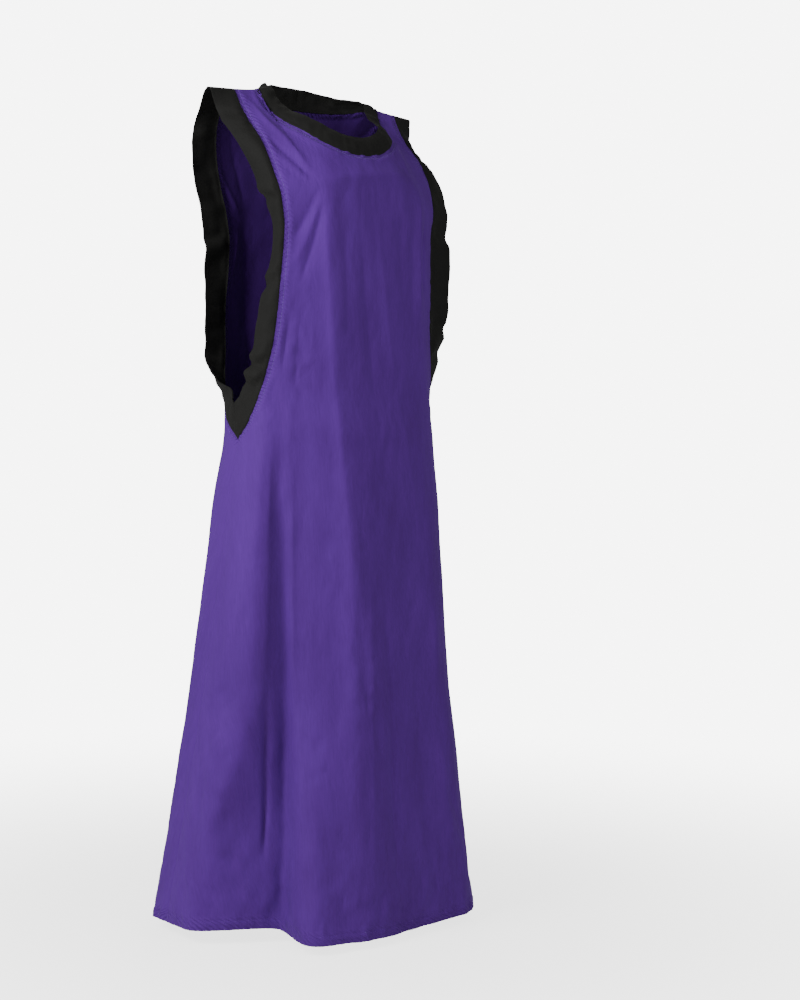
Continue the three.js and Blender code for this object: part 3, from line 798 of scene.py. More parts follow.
def sideways_out(surface, column, inner):
    """The direction, within the cloth, that leads out of a panel across an armhole seam."""
    seam = surface.points[SKIRT_ROWS:, column]
    tangent = np.gradient(seam, axis=0)
    out = unit(np.cross(tangent, surface.normals[SKIRT_ROWS:, column]))
    outside = seam - surface.points[SKIRT_ROWS:, inner]
    return out * np.sign(np.sum(out * outside, axis=1, keepdims=True))


def armhole_band_surface(panel, side, table, wrinkles):
    """An armhole band from its seam, its first row, to its free edge, its last."""
    column, inner, sign = (0, 3, -1) if side == "right" else (-1, -4, 1)
    seam = panel.points[SKIRT_ROWS:, column]
    drop = -seam[:, 2]
    reach = np.stack([look_up(table, "drop", name, drop) for name in ("out", "back", "up")], -1)
    reach[:, 0] *= sign
    length = np.linalg.norm(reach, axis=1, keepdims=True)
    free = smooth_step(0, BEND_FADE_AT_TIP, TIP_DROP - drop)
    free *= smooth_step(0, BEND_FADE_AT_SHOULDER, drop - ARMHOLE_SEAM["drop"][0])
    bend = mix(reach, sideways_out(panel, column, inner) * length, free[:, None]) * BAND_BEND
    t = band_shares()
    points = seam + bend * 2 * t * (1 - t) + reach * t * t

    along = lengths_along(seam)
    share = t[:, :, 0]
    seed = 50 + int(seam[0, 0]) % 7
    relief = 3.0 * share * soft_noise(along / 46, 2 * share, seed)
    relief = relief + 1.0 * soft_noise(along / 15, 1.5 * share, seed + 1)
    for wrinkle in wrinkles:
        at = wrinkle.drop + wrinkle.slant * (share - 0.5)
        crest = bump(drop - at, BAND_WRINKLE_SPREAD * wrinkle.width)
        relief = relief + BAND_WRINKLE_GROWTH * wrinkle.height * crest * smooth_step(0, 0.4, share)
    ends = smooth_step(0, 40, TIP_DROP - drop) * smooth_step(0, 25, drop - drop[-1])
    relief = relief * ends * smooth_step(0, 0.3, share)
    return finished_band(points, relief, panel.normals[SKIRT_ROWS:, column])


def neck_band_surface(panel, facing):
    """The neck band of a panel from its seam to its free edge."""
    seam = panel.points[-1, NECK_COLUMNS]
    count = len(seam)
    swing = (np.arange(count) / (count - 1) - 0.5) * math.pi
    middle = np.cos(swing)
    height = look_up(NECK_BAND_RISE, "swing", facing, np.degrees(swing))
    reach = np.stack([-NECK_BAND_IN * np.sin(swing), NECK_BAND_BACK[facing] * middle, height], -1)
    t = band_shares()
    points = seam + reach * t
    share = t[:, :, 0]
    along = lengths_along(seam)
    crinkle = 1.4 if facing == "front" else 3.0
    seed = 71 if facing == "front" else 83
    relief = 2.5 * np.sin(math.pi * share) + crinkle * soft_noise(along / 13, 2.4 * share, seed)
    relief = relief + 0.6 * crinkle * share * soft_noise(along / 29, share, seed + 1)
    ends = smooth_step(0, 18, along) * smooth_step(0, 18, along[-1] - along)
    relief = relief * ends * smooth_step(0, 0.25, share)
    return finished_band(points, relief, panel.normals[-1, NECK_COLUMNS])


# ---------------------------------------------------------------------------------------------------
# Meshes
# ---------------------------------------------------------------------------------------------------


def border_loop(at):
    """The indices round a grid, starting along its first row."""
    return np.concatenate([at[0, :-1], at[:-1, -1], at[-1, :0:-1], at[:0:-1, 0]])


def cloth_shell(name, surface, thickness, material):
    """A closed sheet of cloth, its middle layer just under the solids' outer face."""
    points, normals = surface.points, surface.normals
    thickness = np.broadcast_to(thickness, points.shape[:2])[:, :, None]
    outer = points + normals * (thickness / 2 - WALL_MIDDLE)
    inner = points - normals * (thickness / 2 + WALL_MIDDLE)
    rows, columns = points.shape[:2]
    count = rows * columns
    at = np.arange(count).reshape(rows, columns)
    face = np.stack([at[:-1, :-1], at[:-1, 1:], at[1:, 1:], at[1:, :-1]], -1).reshape(-1, 4)
    loop = border_loop(at)
    after = np.roll(loop, -1)
    edge = np.stack([after, loop, loop + count, after + count], -1)
    faces = np.concatenate([face, face[:, ::-1] + count, edge])
    outwards = np.sum(np.cross(points[0, 1] - points[0, 0], points[1, 0] - points[0, 0]) * normals[0, 0])
    if outwards < 0:
        faces = faces[:, ::-1]

    mesh = bpy.data.meshes.new(name)
    vertices = np.concatenate([outer.reshape(-1, 3), inner.reshape(-1, 3)]) * MM
    mesh.from_pydata(vertices.tolist(), [], faces.tolist())
    mesh.polygons.foreach_set("use_smooth", np.ones(len(mesh.polygons), bool))
    corners = np.empty(len(mesh.loops), int)
    mesh.loops.foreach_get("vertex_index", corners)
    places = cloth_coordinates(points).reshape(-1, 2) * MM
    layer = mesh.uv_layers.new(name="ClothMetres")
    layer.data.foreach_set("uv", places[corners % count].ravel())
    # Marks the inner layer, which the cotton colours darker: painted shade for the inside of the garment.
    inner_face = mesh.attributes.new("inner_face", "FLOAT", "POINT")
    inner_face.data.foreach_set("value", (np.arange(2 * count) >= count).astype(float))
    gathered = mesh.attributes.new("gathered", "FLOAT", "POINT")
    gathered.data.foreach_set("value", np.tile(surface.gathered.ravel(), 2))
    mark_sharp(mesh, np.concatenate([np.stack([loop, after], -1), np.stack([loop, after], -1) + count]))
    return place_piece(name, mesh, material)


def mark_sharp(mesh, pairs):
    """Keep the edges between these pairs of vertices sharp."""
    ends = np.empty(2 * len(mesh.edges), int)
    mesh.edges.foreach_get("vertices", ends)
    ends = np.sort(ends.reshape(-1, 2), axis=1)
    pairs = np.sort(pairs, axis=1)
    size = len(mesh.vertices)
    sharp = np.isin(ends[:, 0] * size + ends[:, 1], pairs[:, 0] * size + pairs[:, 1])
    mesh.attributes.new("sharp_edge", "BOOLEAN", "EDGE").data.foreach_set("value", sharp)


def place_piece(name, mesh, material):
    mesh.materials.append(material)
    piece = bpy.data.objects.new(name, mesh)
    bpy.context.collection.objects.link(piece)
    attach(piece, "root")
    return piece


def evenly(line, spacing):
    """Points at an even spacing along a line, as places along it from 0 to its last index."""
    along = lengths_along(line)
    marks = np.arange(spacing, along[-1] - spacing, spacing)
    return np.interp(marks, along, np.arange(len(line)))


def sample(values, places):
    """Values from a line at places between its points."""
    low = np.minimum(places.astype(int), len(values) - 2)
    return mix(values[low], values[low + 1], (places - low)[:, None])


def stitch_run(line, normals, spacing):
    """The vertices of a row of machine stitches along a line, and the faces of one stitch."""
    places = evenly(line, spacing)
    middle = sample(line, places)
    normal = unit(sample(normals, places))
    tangent = unit(sample(np.gradient(line, axis=0), places))
    across = np.cross(normal, tangent)
    sides = 6
    angle = np.arange(sides) * 2 * math.pi / sides
    rings = [(-0.5, 0.02, -0.5), (-0.32, 1, 0.1), (0.32, 1, 0.1), (0.5, 0.02, -0.5)]
    vertices = []
    for share, girth, lift in rings:
        centre = middle + tangent * (share * STITCH_LENGTH) + normal * (lift * THREAD_THICKNESS)
        radius = girth * THREAD_THICKNESS / 2
        for a in angle:
            vertices.append(centre + (across * math.cos(a) + normal * math.sin(a)) * radius)
    vertices = np.stack(vertices, 1)
    ring = np.arange(sides)
    after = (ring + 1) % sides
    faces = []
    for k in range(len(rings) - 1):
        low, high = k * sides, (k + 1) * sides
        faces.append(np.stack([low + ring, low + after, high + after, high + ring], -1))
    one = np.concatenate(faces)
    caps = [list(ring[::-1]), list((len(rings) - 1) * sides + ring)]
    return vertices, one, caps


def stitched_line(name, runs, thread, spacing):
    """One piece that holds every stitch of several runs, each a line with its normals."""
    vertices = []
    faces = []
    for line, normals in runs:
        points, one, caps = stitch_run(line, normals, spacing)
        for stitch in points:
            start = len(vertices)
            vertices.extend((stitch * MM).tolist())
            faces.extend((one + start).tolist())
            faces.extend([start + k for k in cap] for cap in caps)
    mesh = bpy.data.meshes.new(name)
    mesh.from_pydata(vertices, [], faces)
    mesh.polygons.foreach_set("use_smooth", np.ones(len(mesh.polygons), bool))
    return place_piece(name, mesh, thread)


def inset_line(points, normals, line, distance):
    """Where rows of points that lead in from a border first lie a distance from its line."""
    away, _ = distance_to(points, line)
    index = np.arange(away.shape[1])
    places = np.array([np.interp(distance, np.maximum.accumulate(row), index) for row in away])
    low = np.minimum(places.astype(int), points.shape[1] - 2)
    row = np.arange(len(points))
    share = (places - low)[:, None]
    where = mix(points[row, low], points[row, low + 1], share)
    return where, unit(mix(normals[row, low], normals[row, low + 1], share))


def topstitch_runs(panel, distance):
    """The lines of topstitching on a panel, beside its bands."""
    reach = 40
    lines = seam_lines(panel.points)
    upper = slice(SKIRT_ROWS, None)
    areas = {
        "armhole_right": (panel.points[upper, :reach], panel.normals[upper, :reach]),
        "armhole_left": (panel.points[upper, : -reach - 1 : -1], panel.normals[upper, : -reach - 1 : -1]),
        "neck": (
            panel.points[: -reach - 1 : -1, NECK_COLUMNS].swapaxes(0, 1),
            panel.normals[: -reach - 1 : -1, NECK_COLUMNS].swapaxes(0, 1),
        ),
    }
    return [inset_line(*areas[name], lines[name], distance) for name in lines]


# ---------------------------------------------------------------------------------------------------
# Materials
# ---------------------------------------------------------------------------------------------------


def linear(hex_colour):
    """A linear RGBA colour from an sRGB hex value."""
    channels = [int(hex_colour[k : k + 2], 16) / 255 for k in (1, 3, 5)]
    return (*[c / 12.92 if c <= 0.04045 else ((c + 0.055) / 1.055) ** 2.4 for c in channels], 1)


def add_node(tree, kind, settings=(), inputs=()):
    """A node with its settings, and its inputs set to a value or linked from a socket."""
    node = tree.nodes.new(kind)
    for name, value in dict(settings).items():
        setattr(node, name, value)
    for name, value in dict(inputs).items():
        if isinstance(value, bpy.types.NodeSocket):
            tree.links.new(value, node.inputs[name])
        else:
            node.inputs[name].default_value = value
    return node


def new_material(name):
    """An empty material and its node tree."""
    material = bpy.data.materials.new(name)
    material.use_nodes = True
    material.node_tree.nodes.clear()
    return material, material.node_tree


def finish_material(tree, shader_inputs):
    shader = add_node(tree, "ShaderNodeBsdfPrincipled", {}, shader_inputs)
    add_node(tree, "ShaderNodeOutputMaterial", {}, {"Surface": shader.outputs["BSDF"]})


def plain_weave_cotton(colours):
    """Plain-woven cotton, piece-dyed and pressed: a smooth semi-matte cloth with a faint soft sheen.

    The eye sees an even colour with slightly lighter and darker threads, a fine grid of threads close
    up, crumples too small to be modelled, and puckers where the cloth is sewn. The threads lie 0.4 mm
    apart in the real cloth, and are drawn 1.4 mm apart to show.
    """
    thread_spacing = 1.4 * MM
    pucker_spacing = 6 * MM
    material, tree = new_material("piece_dyed_plain_weave_cotton")
    cloth = add_node(tree, "ShaderNodeUVMap", {"uv_map": "ClothMetres"}).outputs["UV"]
    place = add_node(tree, "ShaderNodeTexCoord").outputs["Object"]

    warp = add_node(
        tree,
        "ShaderNodeTexWave",
        {"wave_type": "BANDS", "bands_direction": "X"},
        {"Vector": cloth, "Scale": 0.314 / thread_spacing, "Distortion": 0.6, "Detail": 1},
    )
    weft = add_node(
        tree,
        "ShaderNodeTexWave",
        {"wave_type": "BANDS", "bands_direction": "Y"},
        {"Vector": cloth, "Scale": 0.314 / thread_spacing, "Distortion": 0.6, "Detail": 1},
    )
    weave = add_node(
        tree,
        "ShaderNodeMath",
        {"operation": "MULTIPLY"},
        {0: warp.outputs["Fac"], 1: weft.outputs["Fac"]},
    )
    slubs_place = add_node(tree, "ShaderNodeMapping", {}, {"Vector": cloth, "Scale": (520, 26, 1)})
    slubs = add_node(
        tree,
        "ShaderNodeTexNoise",
        {},
        {"Vector": slubs_place.outputs[0], "Scale": 1, "Detail": 2},
    )
    streak_place = add_node(tree, "ShaderNodeMapping", {}, {"Vector": cloth, "Scale": (18, 6, 1)})
    streaks = add_node(
        tree,
        "ShaderNodeTexNoise",
        {},
        {"Vector": streak_place.outputs[0], "Scale": 1, "Detail": 4, "Roughness": 0.55},
    )
    crumple_place = add_node(tree, "ShaderNodeMapping", {}, {"Vector": cloth, "Scale": (1, 0.55, 1)})
    crumples = add_node(
        tree,
        "ShaderNodeTexNoise",
        {},
        {"Vector": crumple_place.outputs[0], "Scale": 42, "Detail": 4, "Roughness": 0.5, "Distortion": 0.5},
    )
    shade = add_node(
        tree,
        "ShaderNodeMixRGB",
        {},
        {"Fac": streaks.outputs["Fac"], "Color1": colours.cotton_shade, "Color2": colours.cotton_light},
    )
    threads = add_node(
        tree,
        "ShaderNodeMixRGB",
        {"blend_type": "OVERLAY"},
        {"Fac": 0.14, "Color1": shade.outputs[0], "Color2": slubs.outputs["Fac"]},
    )
    faded = add_node(tree, "ShaderNodeTexNoise", {}, {"Vector": place, "Scale": 5, "Detail": 3})
    colour = add_node(
        tree,
        "ShaderNodeMixRGB",
        {"blend_type": "OVERLAY"},
        {"Fac": 0.12, "Color1": threads.outputs[0], "Color2": faded.outputs["Fac"]},
    )
    # A darker purple on the inner layer is painted shade for the inside of the garment; the real cloth is
    # the same colour on both sides.
    inner_face = add_node(tree, "ShaderNodeAttribute", {"attribute_name": "inner_face"}).outputs["Fac"]
    painted_inside_shade = add_node(
        tree,
        "ShaderNodeMixRGB",
        {},
        {"Fac": inner_face, "Color1": colour.outputs[0], "Color2": colours.cotton_inside_painted_shade},
    )
    small = add_node(
        tree,
        "ShaderNodeBump",
        {},
        {"Strength": 0.35, "Distance": 0.25 * MM, "Height": weave.outputs[0]},
    )
    soft = add_node(
        tree,
        "ShaderNodeBump",
        {},
        {
            "Strength": 0.6,
            "Distance": 2.6 * MM,
            "Height": crumples.outputs["Fac"],
            "Normal": small.outputs[0],
        },
    )
    crease_place = add_node(tree, "ShaderNodeMapping", {}, {"Vector": cloth, "Scale": (1, 0.7, 1)})
    crease_lines = add_node(
        tree,
        "ShaderNodeTexNoise",
        {},
        {"Vector": crease_place.outputs[0], "Scale": 11, "Detail": 1, "Roughness": 0.4, "Distortion": 0.3},
    )
    off_line = add_node(
        tree,
        "ShaderNodeMath",
        {"operation": "SUBTRACT"},
        {0: crease_lines.outputs["Fac"], 1: 0.5},
    )
    creases = add_node(tree, "ShaderNodeMath", {"operation": "ABSOLUTE"}, {0: off_line.outputs[0]})
    creased = add_node(
        tree,
        "ShaderNodeBump",
        {},
        {
            "Strength": 0.42,
            "Distance": 5 * MM,
            "Height": creases.outputs[0],
            "Normal": soft.outputs[0],
        },
    )
    pucker_place = add_node(
        tree,
        "ShaderNodeMapping",
        {},
        {"Vector": cloth, "Rotation": (0, 0, math.radians(35))},
    )
    puckers = add_node(
        tree,
        "ShaderNodeTexWave",
        {"wave_type": "BANDS", "bands_direction": "Y"},
        {"Vector": pucker_place.outputs[0], "Scale": 0.314 / pucker_spacing, "Distortion": 3, "Detail": 2},
    )
    gathered = add_node(tree, "ShaderNodeAttribute", {"attribute_name": "gathered"}).outputs["Fac"]
    drawn_in = add_node(
        tree,
        "ShaderNodeMath",
        {"operation": "MULTIPLY"},
        {0: puckers.outputs["Fac"], 1: gathered},
    )
    puckered = add_node(
        tree,
        "ShaderNodeBump",
        {},
        {
            "Strength": 0.8,
            "Distance": 1.6 * MM,
            "Height": drawn_in.outputs[0],
            "Normal": creased.outputs[0],
        },
    )
    finish_material(
        tree,
        {
            "Base Color": painted_inside_shade.outputs[0],
            "Roughness": 0.78,
            "IOR": 1.5,
            "Specular IOR Level": 0.13,
            "Sheen Weight": 0.08,
            "Sheen Roughness": 0.4,
            "Sheen Tint": linear("#a899dc"),
            "Normal": puckered.outputs[0],
        },
    )
    return material


def cotton_twill(colours):
    """Black cotton twill, doubled and pressed: a dull near-black cloth with fine diagonal ribs.

    The ribs catch a grey sheen where the band turns to the light. They lie 0.8 mm apart in the real
    cloth, and are drawn 1.6 mm apart to show.
    """
    rib_spacing = 1.6 * MM
    material, tree = new_material("black_cotton_twill")
    cloth = add_node(tree, "ShaderNodeUVMap", {"uv_map": "ClothMetres"}).outputs["UV"]
    slant = add_node(
        tree,
        "ShaderNodeMapping",
        {},
        {"Vector": cloth, "Rotation": (0, 0, math.radians(60))},
    )
    ribs = add_node(
        tree,
        "ShaderNodeTexWave",
        {"wave_type": "BANDS", "bands_direction": "X"},
        {"Vector": slant.outputs[0], "Scale": 0.314 / rib_spacing, "Distortion": 0.4, "Detail": 1},
    )
    lint = add_node(tree, "ShaderNodeTexNoise", {}, {"Vector": cloth, "Scale": 900, "Detail": 2})
    wear = add_node(tree, "ShaderNodeTexNoise", {}, {"Vector": cloth, "Scale": 30, "Detail": 4})
    shade = add_node(
        tree,
        "ShaderNodeMixRGB",
        {},
        {"Fac": wear.outputs["Fac"], "Color1": colours.twill_shade, "Color2": colours.twill_light},
    )
    colour = add_node(
        tree,
        "ShaderNodeMixRGB",
        {"blend_type": "OVERLAY"},
        {"Fac": 0.25, "Color1": shade.outputs[0], "Color2": lint.outputs["Fac"]},
    )
    small = add_node(
        tree,
        "ShaderNodeBump",
        {},
        {"Strength": 0.5, "Distance": 0.3 * MM, "Height": ribs.outputs["Fac"]},
    )
    soft = add_node(
        tree,
        "ShaderNodeBump",
        {},
        {"Strength": 0.8, "Distance": 2.4 * MM, "Height": wear.outputs["Fac"], "Normal": small.outputs[0]},
    )
    finish_material(
        tree,
        {
            "Base Color": colour.outputs[0],
            "Roughness": 0.75,
            "IOR": 1.5,
            "Specular IOR Level": 0.11,
            "Sheen Weight": 0.05,
            "Sheen Roughness": 0.4,
            "Sheen Tint": linear("#c8c6c0"),
            "Normal": soft.outputs[0],
        },
    )
    return material


def sewing_thread(colours):
    """Twisted cotton sewing thread, a little lighter and shinier than the cloth it holds."""
    twist_spacing = 0.9 * MM
    material, tree = new_material("twisted_cotton_thread")
    place = add_node(tree, "ShaderNodeTexCoord").outputs["Object"]
    twist = add_node(
        tree,
        "ShaderNodeTexWave",
        {"wave_type": "BANDS", "bands_direction": "DIAGONAL"},
        {"Vector": place, "Scale": 0.314 / twist_spacing, "Distortion": 0.5},
    )
    colour = add_node(
        tree,
        "ShaderNodeMixRGB",
        {},
        {"Fac": twist.outputs["Fac"], "Color1": colours.cotton_shade, "Color2": colours.thread},
    )
    finish_material(tree, {"Base Color": colour.outputs[0], "Roughness": 0.5, "IOR": 1.5})
    return material


def background_paper(colours):
    """Matte paper from a studio roll: pale, even and without gloss, with a trace of fibre.

    It thins out away from the garment, so that floor and backdrop meet without a line.
    """
    material, tree = new_material("matte_background_paper")
    place = add_node(tree, "ShaderNodeTexCoord").outputs["Object"]
    fibre = add_node(tree, "ShaderNodeTexNoise", {}, {"Vector": place, "Scale": 300, "Detail": 3})
    colour = add_node(
        tree,
        "ShaderNodeMixRGB",
        {"blend_type": "OVERLAY"},
        {"Fac": 0.03, "Color1": colours.floor, "Color2": fibre.outputs["Fac"]},
    )
    paper = add_node(
        tree,
        "ShaderNodeBsdfPrincipled",
        {},
        {"Base Color": colour.outputs[0], "Roughness": 0.95, "IOR": 1.4},
    )
    rounds = add_node(tree, "ShaderNodeVectorMath", {"operation": "LENGTH"}, {0: place})
    fade = add_node(
        tree,
        "ShaderNodeMapRange",
        {"interpolation_type": "SMOOTHSTEP"},
        {
            "Value": rounds.outputs["Value"],
            "From Min": 0.2,
            "From Max": 2.2,
            "To Min": 0.35,
            "To Max": 1,
        },
    )
    clear = add_node(tree, "ShaderNodeBsdfTransparent")
    blend = add_node(
        tree,
        "ShaderNodeMixShader",
        {},
        {0: fade.outputs["Result"], 1: paper.outputs["BSDF"], 2: clear.outputs[0]},
    )
    add_node(tree, "ShaderNodeOutputMaterial", {}, {"Surface": blend.outputs[0]})
    return material


def material_once(name, make):
    """The material of that name, made on first use."""
    return bpy.data.materials.get(name) or make(bpy.context.scene.surcoat_colours)


# ---------------------------------------------------------------------------------------------------
# The add-on
# ---------------------------------------------------------------------------------------------------


class SurcoatSizes(bpy.types.PropertyGroup):
    """The sizes of the cloth and its sewing that a user would change."""

    cotton_thickness: bpy.props.FloatProperty(
        name="Cotton thickness",
        description="Thickness of the purple cloth",
        default=0.9 * MM,
        unit="LENGTH",
    )
    band_thickness: bpy.props.FloatProperty(
        name="Band thickness",
        description="Thickness of the doubled bands",
        default=2.1 * MM,
        unit="LENGTH",
    )
    hem_turn: bpy.props.FloatProperty(
        name="Hem turn",
        description="Height of the turned hem",
        default=14 * MM,
        unit="LENGTH",
    )
    topstitch_inset: bpy.props.FloatProperty(
        name="Topstitch inset",
        description="Distance from a band's seam to the topstitching beside it",
        default=8 * MM,
        unit="LENGTH",
    )
    stitch_spacing: bpy.props.FloatProperty(
        name="Stitch spacing",
        description="Distance from one stitch to the next",
        default=4.4 * MM,
        unit="LENGTH",
    )
    wrinkles: bpy.props.FloatProperty(
        name="Wrinkles",
        description="How strong the small wrinkles are",
        default=1,
        min=0,
        max=3,
        subtype="FACTOR",
    )


class SurcoatColours(bpy.types.PropertyGroup):
    """The colours that a user would change."""

    cotton_light: bpy.props.FloatVectorProperty(
        name="Cotton, light threads",
        description="The purple cloth where it is lightest",
        default=linear("#572b8b"),
        size=4,
        subtype="COLOR",
    )
    cotton_shade: bpy.props.FloatVectorProperty(
        name="Cotton, dark threads",
        description="The purple cloth where it is darkest",
        default=linear("#461f70"),
        size=4,
        subtype="COLOR",
    )
    # A darker purple for the inner layer, painted shade for the inside of the garment; the real cloth is
    # the same colour on both sides.
    cotton_inside_painted_shade: bpy.props.FloatVectorProperty(
        name="Cotton, wrong side",
        description="The slightly deeper colour of the purple cloth on its inside",
        default=linear("#3f1a68"),
        size=4,
        subtype="COLOR",
    )
    twill_light: bpy.props.FloatVectorProperty(
        name="Twill, light",
        description="The black twill where it is worn",
        default=linear("#1d1d1c"),
        size=4,
        subtype="COLOR",
    )
    twill_shade: bpy.props.FloatVectorProperty(
        name="Twill, dark",
        description="The black twill where it is fresh",
        default=linear("#151514"),
        size=4,
        subtype="COLOR",
    )
    thread: bpy.props.FloatVectorProperty(
        name="Thread",
        description="The thread of the seams and the hem",
        default=linear("#6a55a6"),
        size=4,
        subtype="COLOR",
    )
    floor: bpy.props.FloatVectorProperty(
        name="Floor",
        description="The paper under the garment",
        default=linear("#f3f2f0"),
        size=4,
        subtype="COLOR",
    )


def dressed_panel(facing):
    """A panel's surface with the sizes of the scene."""
    sizes = bpy.context.scene.surcoat_sizes
    return panel_surface(facing, sizes.wrinkles, sizes.topstitch_inset / MM, sizes.hem_turn / MM)


class SURCOAT_OT_panels(bpy.types.Operator):
    """Build the front and back panels with their stitching"""

    bl_idname = "surcoat.panels"
    bl_label = "Panels"

    def execute(self, context):
        sizes = context.scene.surcoat_sizes
        cotton = material_once("piece_dyed_plain_weave_cotton", plain_weave_cotton)
        thread = material_once("twisted_cotton_thread", sewing_thread)
        for facing, other in (("front", "back"), ("back", "front")):
            panel = dressed_panel(facing)
            above_hem = panel.points[:, :, 2] - panel.points[0, :, 2]
            turned = 1 + 1.4 * (1 - smooth_step(0, 2, above_hem - sizes.hem_turn / MM))
            thickness = sizes.cotton_thickness / MM * turned
            piece = cloth_shell(f"{facing}_panel_cotton", panel, thickness, cotton)
            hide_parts(f"{facing}_panel")
            lifted = panel.points + panel.normals * (sizes.cotton_thickness / MM / 2 - WALL_MIDDLE)
            surface = Surface(lifted, panel.normals, panel.gathered)
            reach = 16
            hem = inset_line(
                surface.points[:reach].swapaxes(0, 1),
                surface.normals[:reach].swapaxes(0, 1),
                surface.points[0],
                sizes.hem_turn / MM,
            )
            spacing = sizes.stitch_spacing / MM
            runs = topstitch_runs(surface, sizes.topstitch_inset / MM)
            stitching = stitched_line(f"{facing}_topstitching", runs, thread, spacing)
            hemming = stitched_line(f"{facing}_hem_stitching", [hem], thread, spacing)
        return {"FINISHED"}


class SURCOAT_OT_neck_bands(bpy.types.Operator):
    """Build the two neck bands"""

    bl_idname = "surcoat.neck_bands"
    bl_label = "Neck bands"

    def execute(self, context):
        twill = material_once("black_cotton_twill", cotton_twill)
        thickness = context.scene.surcoat_sizes.band_thickness / MM
        for facing in ("front", "back"):
            surface = neck_band_surface(dressed_panel(facing), facing)
            piece = cloth_shell(f"neck_band_{facing}_twill", surface, thickness, twill)
            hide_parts(f"neck_band_{facing}")
        return {"FINISHED"}


class SURCOAT_OT_armhole_bands(bpy.types.Operator):
    """Build the four armhole bands"""

    bl_idname = "surcoat.armhole_bands"
    bl_label = "Armhole bands"

    def execute(self, context):
        twill = material_once("black_cotton_twill", cotton_twill)
        thickness = context.scene.surcoat_sizes.band_thickness / MM
        for name, (facing, side, table, wrinkles) in ARMHOLE_BANDS.items():
            surface = armhole_band_surface(dressed_panel(facing), side, table, wrinkles)
            piece = cloth_shell(f"{name}_twill", surface, thickness, twill)
            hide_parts(name)
        return {"FINISHED"}


class SURCOAT_OT_stage(bpy.types.Operator):
    """Build the floor, the lights and the camera"""

    bl_idname = "surcoat.stage"
    bl_label = "Stage"

    def execute(self, context):
        make_floor()
        make_light("key_light", azimuth=-81, height=0.2, distance=1.75, size=0.9, watts=49)
        make_light("fill_light", azimuth=14, height=0.25, distance=2.4, size=1.3, watts=22)
        make_light("back_light", azimuth=138, height=0.1, distance=2.6, size=1.2, watts=32)
        make_world()
        make_camera()
        return {"FINISHED"}


def make_floor():
    size = 3
    low, _ = CAD_BOX
    corners = [(-size, -size, 0), (size, -size, 0), (size, size, 0), (-size, size, 0)]
    mesh = bpy.data.meshes.new("studio_floor")
    mesh.from_pydata(corners, [], [(0, 1, 2, 3)])
    mesh.materials.append(material_once("matte_background_paper", background_paper))
    floor = bpy.data.objects.new("studio_floor", mesh)
    floor.location.z = low.z - FLOOR_BELOW_HEM
    bpy.context.collection.objects.link(floor)


def make_world():
    """Even pale light from all round, and a paler backdrop behind the garment."""
    world = bpy.data.worlds.new("pale_studio")
    bpy.context.scene.world = world
    world.use_nodes = True
    tree = world.node_tree
    tree.nodes.clear()
    path = add_node(tree, "ShaderNodeLightPath")
    direction = add_node(tree, "ShaderNodeTexCoord").outputs["Generated"]
    upwards = add_node(tree, "ShaderNodeSeparateXYZ", {}, {0: direction}).outputs["Z"]
    strength = add_node(
        tree,
        "ShaderNodeMapRange",
        {},
        {"Value": upwards, "From Min": 0, "From Max": 0.9, "To Min": 0.37, "To Max": 0.18},
    )
    light = add_node(tree, "ShaderNodeBackground", {}, {"Strength": strength.outputs["Result"]})
    light.inputs["Color"].default_value = (1, 1, 1, 1)
    backdrop = add_node(tree, "ShaderNodeBackground", {}, {"Color": (1, 1, 1, 1), "Strength": 7})
    seen = add_node(
        tree,
        "ShaderNodeMixShader",
        {},
        {0: path.outputs["Is Camera Ray"], 1: light.outputs[0], 2: backdrop.outputs[0]},
    )
    add_node(tree, "ShaderNodeOutputWorld", {}, {"Surface": seen.outputs[0]})


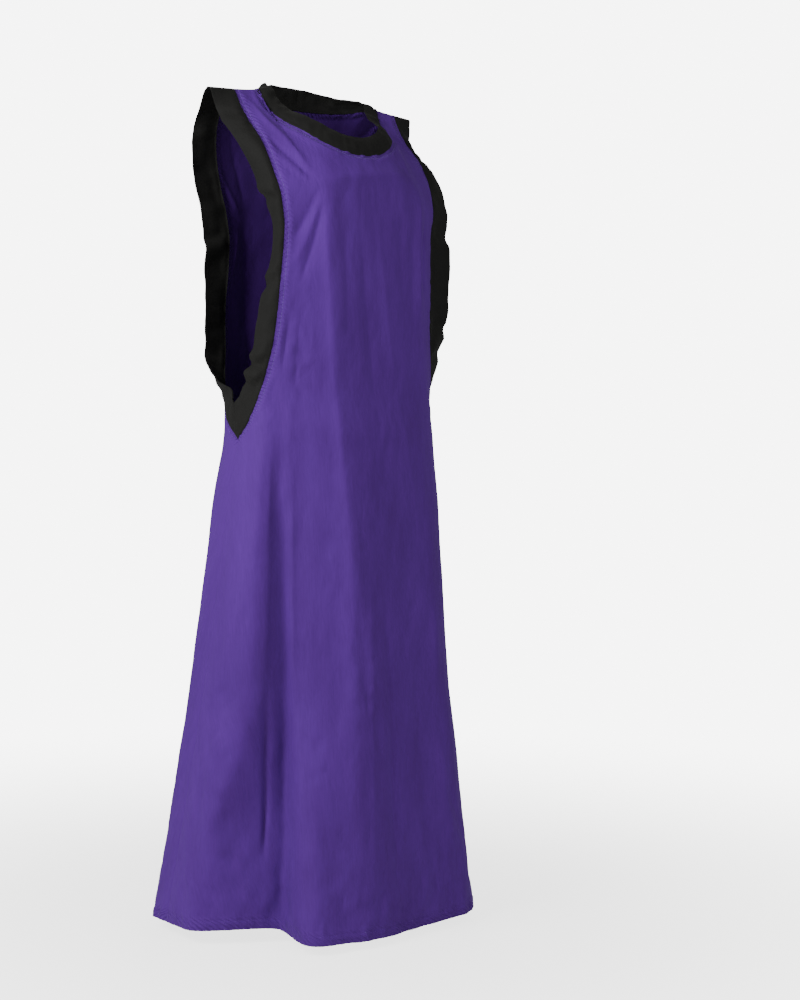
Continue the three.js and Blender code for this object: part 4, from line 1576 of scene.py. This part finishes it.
def make_light(name, azimuth, height, distance, size, watts):
    """A soft square light that faces the garment's middle from an azimuth round it."""
    light = bpy.data.lights.new(name, "AREA")
    light.shape = "SQUARE"
    light.size = size
    light.energy = watts
    lamp = bpy.data.objects.new(name, light)
    bpy.context.collection.objects.link(lamp)
    angle = math.radians(azimuth)
    lamp.location = (distance * math.sin(angle), -distance * math.cos(angle), height)
    tilt = math.atan2(height - CAMERA_HEIGHT, distance)
    lamp.rotation_euler = (math.pi / 2 - tilt, 0, angle)


def make_camera():
    data = bpy.data.cameras.new("camera")
    data.lens = CAMERA_LENS
    data.shift_x, data.shift_y = CAMERA_SHIFT
    camera = bpy.data.objects.new("camera", data)
    bpy.context.collection.objects.link(camera)
    angle = math.radians(CAMERA_AZIMUTH)
    camera.location = (
        CAMERA_DISTANCE * math.sin(angle),
        -CAMERA_DISTANCE * math.cos(angle),
        CAMERA_HEIGHT,
    )
    camera.rotation_euler = (math.pi / 2, 0, angle)
    bpy.context.scene.camera = camera


class SURCOAT_PT_panel(bpy.types.Panel):
    """Lists the garment's pieces, sizes and colours"""

    bl_idname = "SURCOAT_PT_panel"
    bl_label = "Surcoat"
    bl_space_type = "VIEW_3D"
    bl_region_type = "UI"
    bl_category = "Surcoat"

    def draw(self, context):
        for group in (context.scene.surcoat_sizes, context.scene.surcoat_colours):
            for name in group.__annotations__:
                self.layout.prop(group, name)
        for operator in OPERATORS:
            self.layout.operator(operator.bl_idname)


OPERATORS = (
    SURCOAT_OT_panels,
    SURCOAT_OT_neck_bands,
    SURCOAT_OT_armhole_bands,
    SURCOAT_OT_stage,
)
CLASSES = (SurcoatSizes, SurcoatColours, *OPERATORS, SURCOAT_PT_panel)


def register():
    for cls in CLASSES:
        bpy.utils.register_class(cls)
    bpy.types.Scene.surcoat_sizes = bpy.props.PointerProperty(type=SurcoatSizes)
    bpy.types.Scene.surcoat_colours = bpy.props.PointerProperty(type=SurcoatColours)


def unregister():
    del bpy.types.Scene.surcoat_colours
    del bpy.types.Scene.surcoat_sizes
    for cls in reversed(CLASSES):
        bpy.utils.unregister_class(cls)


def main():
    register()
    bpy.ops.surcoat.panels()
    bpy.ops.surcoat.neck_bands()
    bpy.ops.surcoat.armhole_bands()
    bpy.ops.surcoat.stage()


if __name__ == "__main__":
    main()
